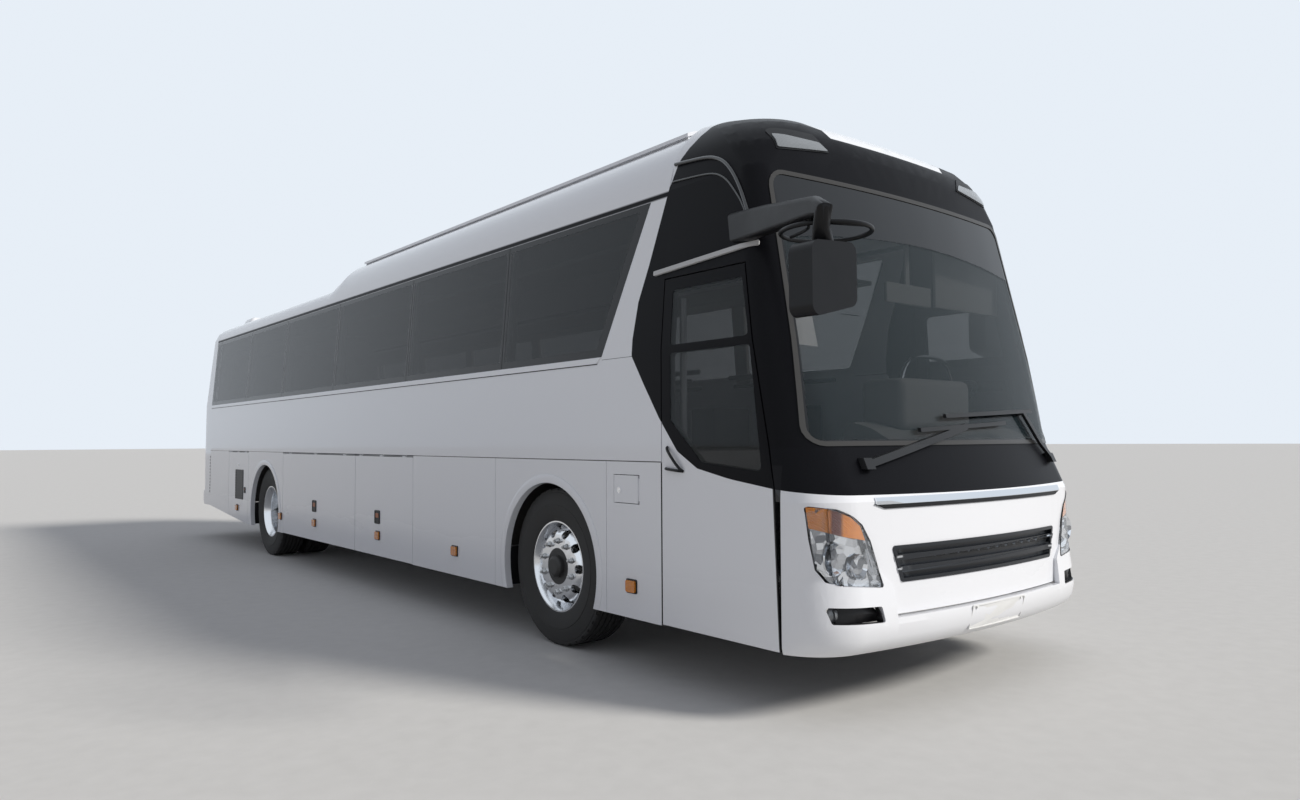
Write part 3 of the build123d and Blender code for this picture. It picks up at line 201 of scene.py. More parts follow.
# the sky that lights the coach is dimmer than the one that shows, also in paint and glass
lit, shown = sky.nodes["Background"], sky.nodes.new("ShaderNodeBackground")
lit.inputs["Color"].default_value = (0.85, 0.89, 1.0, 1)
lit.inputs["Strength"].default_value = 0.38
shown.inputs["Color"].default_value = (0.80, 0.86, 0.93, 1)
choice = sky.nodes.new("ShaderNodeMixShader")
for socket, source in enumerate((seen, lit.outputs[0], shown.outputs[0])):
    sky.links.new(source, choice.inputs[socket])
sky.links.new(choice.outputs[0], sky.nodes["World Output"].inputs[0])

sun = placed("sun", bpy.data.lights.new("sun", "SUN"))
sun.data.energy = 3.2
sun.data.angle = math.radians(14)
sun.data.color = (1.0, 0.97, 0.92)
sun.rotation_euler = Vector((0.50, -0.80, 0.62)).to_track_quat("Z", "Y").to_euler()
sun.visible_glossy = False

# Body panels: steel and moulded plastic, in white gloss enamel with a clear coat.
# The upper front and the part round the door are satin black, along a line that sweeps down to the nose.
# height, and how far back the black paint reaches there
BLACK_EDGE = [
    (1.04, -6.20), (1.075, -5.80), (1.108, -5.425), (1.150, -5.10), (1.199, -4.853), (1.290, -4.691),
    (1.477, -4.535), (1.674, -4.398), (1.842, -4.288), (1.944, -4.288), (2.159, -4.323), (2.366, -4.404),
    (2.780, -4.545), (2.960, -4.60), (3.180, -4.73), (3.300, -4.90),
]
EDGE_LOW, EDGE_HIGH = BLACK_EDGE[0][0], BLACK_EDGE[-1][0]
REACH_FRONT, REACH_BACK = -6.4, -4.2
enamel = Finish("coach_enamel", (0.80, 0.81, 0.83), 0.28, Coat_Roughness=0.04, Specular_IOR_Level=0.08)
share_up = (enamel.z - EDGE_LOW) / (EDGE_HIGH - EDGE_LOW)
reach = enamel.node("ShaderNodeValToRGB", {"stops": [
    ((z - EDGE_LOW) / (EDGE_HIGH - EDGE_LOW), (y - REACH_FRONT) / (REACH_BACK - REACH_FRONT))
    for z, y in BLACK_EDGE]}, {0: share_up})
edge_y = reach * (REACH_BACK - REACH_FRONT) + REACH_FRONT
mask_black = (edge_y - enamel.y).between(0.0, 0.003) * enamel.z.between(EDGE_LOW, EDGE_LOW + 0.003)
# the white crest that comes down over the middle of the black front
crest = enamel.z.between(3.036, 3.040) * (
    (enamel.y + 5.21) * 0.6 + 0.55 - abs(enamel.x)).between(0.0, 0.004)
GLASS_END = 5.36
DOOR_FRONT, DOOR_BACK = -5.450, -4.5545
BELT = 1.2285
window_head = (enamel.z.near(2.7625, 0.021) * enamel.y.between(-4.6, -4.597)
               * enamel.y.between(GLASS_END + 0.006, GLASS_END))
black = (mask_black * (1 - crest)).either(window_head)
belt_joint = enamel.z.near(BELT, 0.004) * enamel.y.between(-4.556, -4.552) * enamel.y.between(5.392, 5.388)
post_joint = enamel.z.near(1.842, 0.002) * enamel.y.between(-4.30, -4.296) * enamel.y.between(-3.99, -3.994)
# the door's front edge leans back as it rises, and its rubber with it
leaf_edge = (enamel.y.between(DOOR_FRONT - 0.002, DOOR_FRONT)
             * (enamel.y - enamel.z * 0.042).between(DOOR_FRONT + 0.002, DOOR_FRONT))
door_rubber = leaf_edge.either(enamel.y.near(DOOR_BACK, 0.004)) * enamel.x.between(0.5, 0.4)
corner_joint = enamel.y.near(DOOR_FRONT, 0.003)
door_joints = door_rubber.either(corner_joint) * enamel.z.between(BELT + 0.0015, BELT - 0.0085)
joints = belt_joint.either(post_joint).either(door_joints)
dust = enamel.z.between(0.8, 0.3) * enamel.noise(3.5, 5, (1, 0.35, 1.6))
white = enamel.blend(dust * 0.14, (0.82, 0.83, 0.86), (0.60, 0.57, 0.53))
charcoal = enamel.blend(enamel.noise(260, 1), (0.003, 0.003, 0.004), (0.008, 0.008, 0.010))
enamel.drive("Base Color", enamel.blend(joints, enamel.blend(black, white, charcoal), (0.012, 0.012, 0.014)))
enamel.drive("Roughness", 0.24 + dust * 0.2 + black * 0.12)
enamel.drive("Coat Weight", 0.8 - black * 0.8)
enamel.grained(70, 1, 0.0004, 0.05)


def fitted(name, shape, finish, slot, body="root", crease=50, *stands_for):
    """Turn a finished shape into a piece that rides on its body."""
    mesh = bpy.data.meshes.new(name)
    shape.to_mesh(mesh)
    shape.free()
    mesh.materials.append(finish.material)
    mesh.shade_smooth()
    mesh.set_sharp_from_angle(angle=math.radians(crease))
    piece = placed(name, mesh)
    even = piece.modifiers.new("even shading", "WEIGHTED_NORMAL")
    even.keep_sharp = True
    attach(piece, body)
    if stands_for:
        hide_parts(*stands_for)
    return piece


def merged(node, limit=0.006):
    """A CAD node's own shape, with its facets joined."""
    shape = bmesh.new()
    shape.from_mesh(nodes[node].data)
    bmesh.ops.remove_doubles(shape, verts=shape.verts, dist=2e-5)
    bmesh.ops.dissolve_limit(shape, angle_limit=limit, verts=shape.verts, edges=shape.edges)
    return shape


def panel(name, node, finish, slot, body="root", crease=28):
    """A piece that is a CAD node's own shape, with its curves smooth."""
    fitted(name, merged(node), finish, slot, body, crease, node)


PAINTED = [
    "front_mask", "front_band", "front_corners", "front_panel", "front_bumper", "front_door",
    "side_wall_left", "side_wall_right", "skirts", "filler_flap",
    "luggage_door_left_front", "luggage_door_left_rear", "luggage_door_right_front",
    "luggage_door_right_rear", "service_door_left", "service_door_right",
    "roof_front", "roof_rear", "roof_cover", "rear_wall", "rear_bumper", "engine_door",
]
for node in PAINTED:
    slot = "paint_black" if node in ("front_mask", "front_band") else "paint_white"
    # a door or a flap is a body of its own
    body = node if "door" in node or "flap" in node else "root"
    panel(node + "_skin", node, enamel, slot, body)

# Windows: flush panes of tinted safety glass, bonded to the body behind a printed black border.
# The border covers the joints between the panes and the pillars behind them.
PANE_JOINTS = [-2.77, -1.14, 0.60, 2.24, 3.68, 5.13]
SILL, HEAD = 1.86, 2.745
tinted = Finish("tinted_glass", (0.012, 0.016, 0.018), 0.03, Specular_IOR_Level=0.35)
border = tinted.z.between(SILL + 0.052, SILL + 0.048).either(tinted.z.between(HEAD - 0.042, HEAD - 0.038))
for joint in PANE_JOINTS:
    border = border.either(tinted.y.near(joint, 0.05))
slant = tinted.y + 3.99 + (tinted.z - SILL) * 0.452
border = border.either(abs(slant).between(0.084, 0.080)).either(tinted.y.between(5.30, 5.304))
tinted.drive("Base Color", tinted.blend(border, (0.014, 0.018, 0.021), (0.004, 0.004, 0.005)))
tinted.drive("Alpha", border.either(tinted.glancing(0.3) * 0.35 + 0.56))
smoked = Finish("door_glass", (0.015, 0.02, 0.022), 0.03, Specular_IOR_Level=0.35)
smoked.drive("Alpha", smoked.glancing(0.3) * 0.4 + 0.42)
panel("side_panes", "side_glass", tinted, "tinted_glass")
panel("rear_pane", "rear_window", tinted, "tinted_glass")
panel("door_panes", "door_glass", smoked, "tinted_glass", "front_door")

# Windscreen: one bowed pane of laminated glass, with a dark band printed along its top and edges.
# A bright-edged rubber strip, pressed in all round, covers the joint to the body.
screen = Finish("windscreen_glass", (0.02, 0.03, 0.035), 0.02, Specular_IOR_Level=0.4)
printed = (screen.z + screen.x * screen.x * 0.07).between(2.466, 2.469)
edge_x = abs(screen.x) + (screen.z - 1.318) * 0.045
printed = printed.either(edge_x.between(1.124, 1.128)).either(screen.z.between(1.352, 1.348))
screen.drive("Base Color", screen.blend(printed, (0.02, 0.03, 0.035), (0.008, 0.009, 0.011)))
screen.drive("Alpha", printed.either(screen.glancing(0.25) * 0.4 + 0.32))
panel("windscreen_pane", "windscreen", screen, "clear_glass")

VIEWS = {
    # the way a drawing's u and v run, and the way the eye looks
    "front": (Vector((1, 0, 0)), Vector((0, 0, 1)), Vector((0, 1, 0))),
    "rear": (Vector((1, 0, 0)), Vector((0, 0, 1)), Vector((0, -1, 0))),
    "right": (Vector((0, 1, 0)), Vector((0, 0, 1)), Vector((1, 0, 0))),
    "left": (Vector((0, 1, 0)), Vector((0, 0, 1)), Vector((-1, 0, 0))),
}
FAR = 8.0


def surface(*names):
    """The outside of some CAD nodes, to lay trim on."""
    joined = bmesh.new()
    for name in names:
        joined.from_mesh(nodes[name].data)
    tree = BVHTree.FromBMesh(joined)
    joined.free()
    return tree


def once(items):
    """Each item once, in the order they come, so that every run builds the same mesh."""
    return list(dict.fromkeys(items))


def laid(view, outline, skin, lift, thick, pitch, corner=0.0, ring=0.0, shape=None):
    """A thin piece that follows the surface under it, cut to an outline drawn in one view."""
    across, upward, gaze = VIEWS[view]
    shape = shape or bmesh.new()
    start = [shape.verts.new(across * u + upward * v - gaze * FAR) for u, v in outline]
    face = shape.faces.new(start)
    if corner:
        rounded = bmesh.ops.bevel(shape, geom=start, affect="VERTICES", offset=corner, segments=5,
                                  profile=0.5, material=-1)
        face = next(f for v in rounded["verts"] for f in v.link_faces)
    sheet = [face]
    if ring:
        sheet = bmesh.ops.inset_individual(shape, faces=[face], thickness=ring)["faces"]
        bmesh.ops.delete(shape, geom=[face], context="FACES_ONLY")
    sheet = bmesh.ops.triangulate(shape, faces=sheet)["faces"]
    for way, column in ((across, 0), (upward, 1)):
        low = min(point[column] for point in outline)
        high = max(point[column] for point in outline)
        for i in range(1, int((high - low) / pitch) + 1):
            part = once(item for f in sheet for item in (f, *f.edges, *f.verts))
            cut = bmesh.ops.bisect_plane(shape, geom=part, dist=1e-6, plane_no=way,
                                         plane_co=way * (low + i * pitch))
            sheet = [item for item in cut["geom"] if isinstance(item, bmesh.types.BMFace)]
    made = bmesh.ops.extrude_face_region(shape, geom=sheet)
    back = [item for item in made["geom"] if isinstance(item, bmesh.types.BMVert)]
    bmesh.ops.translate(shape, vec=gaze * 0.5, verts=back)
    piece = once([v for f in sheet if f.is_valid for v in f.verts] + back)
    bmesh.ops.recalc_face_normals(shape, faces=once(f for v in piece for f in v.link_faces))
    hits = {v: skin.ray_cast(v.co, gaze) for v in piece}
    depths = [hit[0].dot(gaze) for hit in hits.values() if hit[0]]
    behind = set(back)
    for vert, (place, normal, _, _) in hits.items():
        if place is None:
            level = vert.co + gaze * (sum(depths) / len(depths) - vert.co.dot(gaze))
            place, normal, _, _ = skin.find_nearest(level)
        if normal.dot(gaze) > 0:
            normal = -normal
        vert.co = place + normal * (lift - thick if vert in behind else lift)
    return shape


def both_sides(outline):
    """An outline for the right side, and its mirror image for the left."""
    return outline, [(-u, v) for u, v in outline]


gasket_metal = Finish("gasket_metal", (0.08, 0.075, 0.07), 0.28, Metallic=0.8)
gasket_metal.relief(gasket_metal.noise(220, 2, (1, 1, 0.1)), 0.0005, 0.2)
front_skin = surface("windscreen", "front_mask", "front_band")
SCREEN_OUTLINE = [(-1.162, 1.318), (1.162, 1.318), (1.097, 2.764), (-1.097, 2.764)]
fitted("windscreen_gasket", laid("front", SCREEN_OUTLINE, front_skin, 0.005, 0.013, 0.06, 0.10, 0.024),
       gasket_metal, "black_plastic")

# Headlamps: a clear polycarbonate lens over a chromed bowl, in a black seal.
# Each holds two faceted reflectors with a bulb, and an amber turn lamp along the top.
LAMP_OUTLINE = [
    (-1.211, 1.039), (-1.205, 0.871), (-1.199, 0.776), (-1.187, 0.710), (-1.161, 0.677), (-1.119, 0.665),
    (-0.874, 0.641), (-0.876, 0.675), (-0.903, 0.765), (-0.935, 0.864), (-0.982, 0.944), (-1.038, 0.989),
    (-1.104, 1.020), (-1.163, 1.035),
]
AMBER_OUTLINE = [
    (-1.207, 1.030), (-1.201, 0.930), (-1.129, 0.905), (-1.076, 0.890), (-0.962, 0.868), (-0.991, 0.938),
    (-1.042, 0.981), (-1.106, 1.012), (-1.163, 1.027),
]
# centre of each reflector on the lens, its radius and its depth
REFLECTORS = [((-1.112, -5.686, 0.785), 0.074, 0.040), ((-0.985, -5.728, 0.742), 0.056, 0.034)]
seal_rubber = Finish("seal_rubber", (0.012, 0.012, 0.013), 0.6).grained(300, 2, 0.0005, 0.3)
lens = Finish("lamp_lens", (0.80, 0.84, 0.88), 0.03, Specular_IOR_Level=0.7)
lens.drive("Alpha", lens.glancing(0.2) * 0.35 + 0.04)
chrome = Finish("bright_chrome", (0.80, 0.81, 0.83), 0.08, Metallic=1.0)
chrome.drive("Roughness", 0.06 + chrome.noise(40, 3) * 0.08)
painted_reflector_chrome = Finish("chrome_with_painted_reflections", (0.8, 0.8, 0.8), 0.10, Metallic=1.0)
# painted reflection: the chrome's colour is broken into dark and bright cells that stand in for reflections
# in the facets
facets = painted_reflector_chrome.node("ShaderNodeTexVoronoi", {}, {"Vector": painted_reflector_chrome.place, "Scale": 26.0}, "Color")
painted_reflection = painted_reflector_chrome.node("ShaderNodeRGBToBW", {}, {0: facets}).between(0.30, 0.62)
painted_reflector_chrome.drive("Base Color", painted_reflector_chrome.blend(painted_reflection, (0.16, 0.17, 0.19), (0.88, 0.90, 0.93)))
painted_reflector_chrome.drive("Roughness", 0.06 + painted_reflection * 0.10)
amber = Finish("amber_lens", (0.75, 0.20, 0.01), 0.12, Coat_Weight=0.6)
amber_middle = (abs(amber.x) - 1.107 + (amber.z - 0.95) * 0.05).near(0, 0.032)
ribs = (amber.z * 900 + abs(amber.x) * 400).maths("SINE")
amber.drive("Base Color", amber.blend(amber_middle * amber.z.between(0.8, 0.82), amber.blend(
    amber.noise(60, 3), (0.86, 0.30, 0.0), (0.58, 0.15, 0.0)), (0.12, 0.015, 0.004)))
amber.relief(ribs, 0.002, 0.6)
lamp_skin = surface("front_lamps")
FULL_TURN = 2 * math.pi


def turned(shape, profile, hub, steps):
    """A profile, as radius and distance behind the hub, spun about the coach's own direction."""
    x, y, z = hub
    points = [shape.verts.new((x, y + back, z + out)) for out, back in profile]
    lines = [shape.edges.new(pair) for pair in zip(points, points[1:])]
    bmesh.ops.spin(shape, geom=points + lines, cent=hub, axis=(0, 1, 0), angle=FULL_TURN, steps=steps,
                   use_merge=True)


def face_forwards(shape, limit):
    """Turn round the faces that look backwards."""
    bmesh.ops.recalc_face_normals(shape, faces=shape.faces)
    for face in shape.faces:
        if face.normal.y > limit:
            face.normal_flip()


seals, bowls, covers, turn_lamps, reflectors, bulbs = (bmesh.new() for _ in range(6))
for outline, amber_outline, side in zip(both_sides(LAMP_OUTLINE), both_sides(AMBER_OUTLINE), (1, -1)):
    laid("front", outline, lamp_skin, 0.004, 0.016, 0.03, 0.0, 0.011, seals)
    laid("front", outline, lamp_skin, -0.004, 0.040, 0.03, 0.0, 0.008, bowls)
    laid("front", outline, lamp_skin, -0.042, 0.004, 0.03, shape=bowls)
    laid("front", outline, lamp_skin, 0.0, 0.003, 0.03, shape=covers)
    laid("front", amber_outline, lamp_skin, -0.0035, 0.010, 0.03, shape=turn_lamps)
    for (x, y, z), radius, depth in REFLECTORS:
        # radius, and how far behind the rim
        dish = [(0.004, depth), (0.3 * radius, 0.9 * depth), (0.6 * radius, 0.62 * depth),
                (0.85 * radius, 0.28 * depth), (radius, 0.0), (radius + 0.005, -0.002),
                (radius + 0.007, 0.004)]
        rim_y = y + 0.012
        turned(reflectors, dish, (side * x, rim_y, z), 14)
        bulb = bmesh.ops.create_uvsphere(bulbs, u_segments=16, v_segments=10, radius=0.2 * radius)["verts"]
        bmesh.ops.translate(bulbs, vec=(side * x, rim_y + 0.5 * depth, z), verts=bulb)
face_forwards(reflectors, 0.2)
fitted("lamp_seals", seals, seal_rubber, "black_plastic", "root", 50, "front_lamps")
fitted("lamp_bowls", bowls, painted_reflector_chrome, "chrome", crease=28)
fitted("lamp_covers", covers, lens, "lamp_lens", crease=28)
fitted("turn_lamps", turn_lamps, amber, "lamp_lens", crease=28)
fitted("lamp_reflectors", reflectors, painted_reflector_chrome, "chrome", crease=8)
fitted("lamp_bulbs", bulbs, lens, "lamp_lens", crease=28)

# Fog lamps: a black moulded pocket under each headlamp, with a small round lamp at its outer end.
# The pocket is the back of the lamp unit, set 30 mm into the bumper.
FOG_OUTLINE = [(-1.190, 0.574), (-0.909, 0.566), (-0.874, 0.471), (-1.174, 0.481)]
moulding = Finish("black_moulding", (0.010, 0.010, 0.011), 0.42, Specular_IOR_Level=0.3)
moulding.grained(420, 2, 0.0006, 0.35)
pockets, fog_lamps = bmesh.new(), bmesh.new()
# radius, and how far behind the middle of the lens
FOG_PROFILE = [(0.0, -0.016), (0.018, -0.013), (0.030, -0.004), (0.034, 0.002), (0.037, 0.002),
               (0.038, 0.016)]
for outline, side in zip(both_sides(FOG_OUTLINE), (1, -1)):
    laid("front", outline, lamp_skin, 0.002, 0.006, 0.05, 0.012, shape=pockets)
    laid("front", outline, lamp_skin, 0.027, 0.026, 0.05, 0.012, 0.006, pockets)
    turned(fog_lamps, FOG_PROFILE, (side * -1.119, -5.668, 0.524), 32)
bmesh.ops.remove_doubles(fog_lamps, verts=fog_lamps.verts, dist=1e-5)
face_forwards(fog_lamps, 0.3)
fog_glass = Finish("fog_glass", (0.16, 0.17, 0.18), 0.10, Coat_Weight=1.0)
fog_glass.relief((fog_glass.x * 700).maths("SINE"), 0.001, 0.5)
fitted("fog_pockets", pockets, moulding, "black_plastic", crease=28)
fitted("fog_lamps", fog_lamps, fog_glass, "lamp_lens", crease=28)

# Nose trim: a black grille of two bars with bright ends, and a chromed strip under the windscreen.
# A blank number plate is screwed to the bumper.
trim = Finish("nose_trim", (0.02, 0.02, 0.022), 0.3)
bright = trim.z.between(1.030, 1.032)
bar_ends = trim.z.near(0.716, 0.006).either(trim.z.near(0.775, 0.006))
bright = bright.either(abs(trim.x).near(0.735, 0.028) * bar_ends)
trim.drive("Base Color", trim.blend(bright, (0.010, 0.012, 0.016), (0.78, 0.80, 0.83)))
trim.drive("Metallic", bright)
trim.drive("Roughness", 0.30 - bright * 0.20)
panel("grille_and_strip", "front_trim", trim, "black_plastic", crease=35)
trim_skin = surface("front_trim")


def oblong(u, v, width, height):
    """The corners of an upright rectangle about its middle."""
    return [(u - width / 2, v - height / 2), (u + width / 2, v - height / 2),
            (u + width / 2, v + height / 2), (u - width / 2, v + height / 2)]


bars = bmesh.new()
for bar_z, width in ((0.712, 1.514), (0.771, 1.544)):
    laid("front", oblong(0, bar_z, width, 0.030), trim_skin, 0.004, 0.008, 0.05, 0.004, shape=bars)
fitted("grille_bars", bars, trim, "black_plastic", crease=40)
nose_skin = surface("front_band", "front_panel", "front_bumper", "front_corners")
STRIP_LIP = [(-0.83, 1.014), (0.83, 1.014), (0.90, 1.037), (-0.90, 1.037)]
fitted("strip_lip", laid("front", STRIP_LIP, nose_skin, 0.007, 0.009, 0.08), moulding, "black_plastic")
plate_paint = Finish("plate_paint", (0.78, 0.78, 0.77), 0.35).grained(120, 2, 0.0004, 0.15)
PLATE = oblong(0.028, 0.425, 0.520, 0.126)
plate = laid("front", PLATE, nose_skin, 0.006, 0.006, 0.13, 0.012)
laid("front", PLATE, nose_skin, 0.009, 0.006, 0.13, 0.012, 0.006, plate)
for u in (-0.19, 0.246):
    laid("front", oblong(u, 0.477, 0.014, 0.014), nose_skin, 0.010, 0.006, 0.05, 0.005, shape=plate)
fitted("front_plate", plate, plate_paint, "paint_white", crease=40)

# Wipers: two black steel arms with rubber blades, parked low across the windscreen.
# They are the CAD's own arms with their edges softened.
wiper_paint = Finish("wiper_paint", (0.012, 0.012, 0.013), 0.4).grained(180, 2, 0.0005, 0.3)
panel("wiper_arms", "wipers", wiper_paint, "black_plastic", crease=35)

# Mirrors: moulded black housings on arms that reach forward from the front posts.
# Each has a silvered glass on its rear face, and the right arm carries a round look-down hoop.
shell = Finish("housing_plastic", (0.005, 0.005, 0.006), 0.38, Specular_IOR_Level=0.25)
shell_joint = shell.y.near(-5.77, 0.0022).either(shell.y.near(-5.43, 0.0022))
shell.drive("Base Color", shell.blend(shell_joint, shell.blend(
    shell.noise(7, 3), (0.003, 0.003, 0.004), (0.007, 0.007, 0.008)), (0.001, 0.001, 0.001)))
shell.drive("Roughness", 0.34 + shell.noise(5, 4) * 0.14)
shell.grained(500, 2, 0.0006, 0.3)
housings = merged("mirrors", 0.01)
corners = [e for e in housings.edges if e.calc_face_angle(0) > 0.6 and e.calc_length() > 0.03]
bmesh.ops.bevel(housings, geom=corners, offset=0.012, affect="EDGES", segments=3, profile=0.5,
                material=-1, clamp_overlap=True)
fitted("mirror_housings", housings, shell, "black_plastic", "root", 40, "mirrors")
silvered = Finish("silvered_glass", (0.75, 0.77, 0.79), 0.03, Metallic=1.0)
silvered.drive("Roughness", 0.02 + silvered.noise(30, 2) * 0.03)
mirror_skin = surface("mirrors")
glasses = bmesh.new()
for x, z in ((-1.505, 2.025), (1.505, 2.085)):
    laid("rear", oblong(x, z, 0.246, 0.280), mirror_skin, 0.002, 0.004, 0.08, 0.025, shape=glasses)
fitted("mirror_glasses", glasses, silvered, "chrome")


def rail(name, paths, radius, finish, body="root", closed=False):
    """Round tube or cord along smooth paths."""
    curve = bpy.data.curves.new(name, "CURVE")
    curve.dimensions = "3D"
    curve.bevel_depth = radius
    curve.bevel_resolution = 4
    curve.resolution_u = 8
    curve.use_fill_caps = True
    for path in paths:
        spline = curve.splines.new("NURBS")
        spline.points.add(len(path) - 1)
        for point, place in zip(spline.points, path):
            point.co = (*place, 1)
        spline.use_cyclic_u = closed
        spline.use_endpoint_u = not closed
        spline.order_u = 3
    curve.materials.append(finish.material)
    piece = placed(name, curve)
    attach(piece, body)


HOOP = Vector((-1.356, -5.850, 2.279))
HOOP_R = 0.205
hoop_path = [(HOOP.x + HOOP_R * math.cos(a), HOOP.y + HOOP_R * math.sin(a), HOOP.z)
             for a in (FULL_TURN * i / 16 for i in range(16))]
rail("mirror_hoop", [hoop_path], 0.011, shell, closed=True)
rail("mirror_hoop_spokes", [
    [(-1.545, -5.90, 2.300), (-1.50, -5.88, 2.284), (-1.44, -5.81, 2.280), (-1.40, -5.68, 2.279)],
    [(-1.545, -5.92, 2.290), (-1.48, -5.95, 2.284), (-1.40, -6.00, 2.280), (-1.33, -6.035, 2.279)]],
    0.007, shell)

# Front mask fittings: marker lamps in black frames at the top corners, and rubber beads.
# The beads run in a curve from the roof down to the windscreen on each side.
MARKER = [(-0.998, 2.895), (-0.633, 2.932), (-0.681, 2.976), (-0.994, 2.976)]
MARKER_FRAME = [(-1.006, 2.884), (-0.620, 2.926), (-0.699, 3.026), (-0.972, 3.022), (-1.004, 3.002)]
mask_skin = surface("front_mask", "roof_front")
surrounds, markers = bmesh.new(), bmesh.new()
for frame_outline, outline in zip(both_sides(MARKER_FRAME), both_sides(MARKER)):
    laid("front", frame_outline, mask_skin, 0.004, 0.008, 0.06, 0.010, shape=surrounds)
    laid("front", outline, mask_skin, 0.009, 0.008, 0.04, 0.010, shape=markers)
fitted("marker_frames", surrounds, moulding, "black_plastic")
fitted("marker_lamps", markers, fog_glass, "lamp_lens")
bead = Finish("bead_gloss", (0.010, 0.010, 0.011), 0.16, Coat_Weight=0.6).grained(90, 2, 0.0005, 0.1)
OUTER_BEAD = [
    (-1.134, -4.571, 2.932), (-1.137, -4.694, 2.921), (-1.141, -4.848, 2.906), (-1.148, -4.943, 2.875),
    (-1.160, -5.025, 2.823), (-1.175, -5.115, 2.713), (-1.184, -5.180, 2.576), (-1.195, -5.245, 2.40),
]
INNER_BEAD = [
    (-1.160, -4.575, 2.826), (-1.161, -4.721, 2.817), (-1.164, -4.872, 2.804), (-1.169, -4.957, 2.783),
    (-1.173, -5.030, 2.738), (-1.179, -5.096, 2.664), (-1.186, -5.168, 2.568), (-1.196, -5.240, 2.40),
]
wall_skin = surface("front_mask", "front_band", "side_wall_right", "side_wall_left", "roof_front")
for name, path, radius in (("outer_beads", OUTER_BEAD, 0.011), ("inner_beads", INNER_BEAD, 0.006)):
    both = []
    for side in (1, -1):
        feet = [wall_skin.find_nearest(Vector((side * x, y, z))) for x, y, z in path]
        both.append([place + normal * radius * 0.4 for place, normal, _, _ in feet])
    rail(name, both, radius, bead)

# Door fittings: a pale drip rail over the doorway, and a black pull handle low on the leaf.
# The rail is bonded to the body, and the handle rides on the door.
pale_plastic = Finish("pale_plastic", (0.52, 0.52, 0.52), 0.5).grained(260, 2, 0.0005, 0.25)
DRIP_RAIL = [(-5.270, 2.342), (-4.470, 2.292), (-4.470, 2.318), (-5.270, 2.366)]
drip = laid("right", DRIP_RAIL, wall_skin, 0.016, 0.018, 0.10, 0.006)
fitted("drip_rail", drip, pale_plastic, "grey_plastic")
rail("door_handle", [
    [(-1.247, -4.612, 1.311), (-1.266, -4.616, 1.307), (-1.266, -4.735, 1.188), (-1.247, -4.744, 1.180)],
    [(-1.247, -4.600, 1.193), (-1.262, -4.606, 1.193), (-1.262, -4.730, 1.182), (-1.247, -4.738, 1.182)]],
    0.008, shell, "front_door")

# Side trim: a white moulding under the windows, side marker lamps, and bright locks and latches.
# Each lamp or latch is set on the panel or door that carries it.
SIDES = ("right", "left")
MOULDING = [(-3.945, 1.822), (GLASS_END, 1.822), (GLASS_END, 1.858), (-3.985, 1.858)]
MOULDING_BEAD = [(-3.945, 1.816), (GLASS_END, 1.816), (GLASS_END, 1.8225), (-3.945, 1.8225)]
for side in SIDES:
    wall = surface("side_wall_" + side)
    strip = laid(side, MOULDING, wall, 0.006, 0.009, 0.31)
    fitted("sill_moulding_" + side, strip, enamel, "paint_white")
    bead_line = laid(side, MOULDING_BEAD, wall, 0.003, 0.005, 0.31)
    fitted("sill_bead_" + side, bead_line, moulding, "black_plastic")

side_lamps = [
    # place along the side, node and body that carry it
    (-4.284, "skirts", "root"), (-2.066, "skirts", "root"),
    (-0.57, "luggage_door_{}_front", "luggage_door_{}_front"),
    (1.09, "luggage_door_{}_rear", "luggage_door_{}_rear"),
    (2.215, "skirts", "root"), (4.0, "service_door_{}", "service_door_{}"),
]
for side in SIDES:
    for count, (y, node, body) in enumerate(side_lamps):
        skin = surface(node.format(side))
        base = laid(side, oblong(y, 0.505, 0.098, 0.082), skin, 0.006, 0.008, 0.05, 0.010)
        fitted(f"side_lamp_base_{side}_{count}", base, moulding, "black_plastic", body.format(side))
        lamp = laid(side, oblong(y, 0.505, 0.084, 0.068), skin, 0.018, 0.014, 0.04, 0.012)
        fitted(f"side_lamp_{side}_{count}", lamp, amber, "lamp_lens", body.format(side))

latches = [
    # place along the side, height, width, tallness, node and body
    (1.097, 0.678, 0.110, 0.120, "luggage_door_{}_rear"),
    (-0.558, 0.669, 0.110, 0.120, "luggage_door_{}_front"),
    (3.66, 0.74, 0.05, 0.075, "service_door_{}"),
]
rust_red = Finish("paddle_paint", (0.34, 0.10, 0.03), 0.4).grained(150, 3, 0.0006, 0.3)
for side in SIDES:
    for count, (y, z, width, height, node) in enumerate(latches):
        body = node.format(side)
        skin = surface(body)
        rim = oblong(y, z, width, height)
        dish = laid(side, rim, skin, 0.003, 0.005, 0.05, 0.012)
        laid(side, rim, skin, 0.008, 0.010, 0.05, 0.012, 0.010, dish)
        pull = oblong(y, z - height * 0.26, width * 0.7, height * 0.2)
        laid(side, pull, skin, 0.007, 0.006, 0.05, 0.006, shape=dish)
        fitted(f"latch_{side}_{count}", dish, moulding, "black_plastic", body)
        paddle_outline = oblong(y, z + height * 0.12, width * 0.6, height * 0.34)
        paddle = laid(side, paddle_outline, skin, 0.007, 0.006, 0.05, 0.006)
        fitted(f"latch_paddle_{side}_{count}", paddle, rust_red, "black_plastic", body)

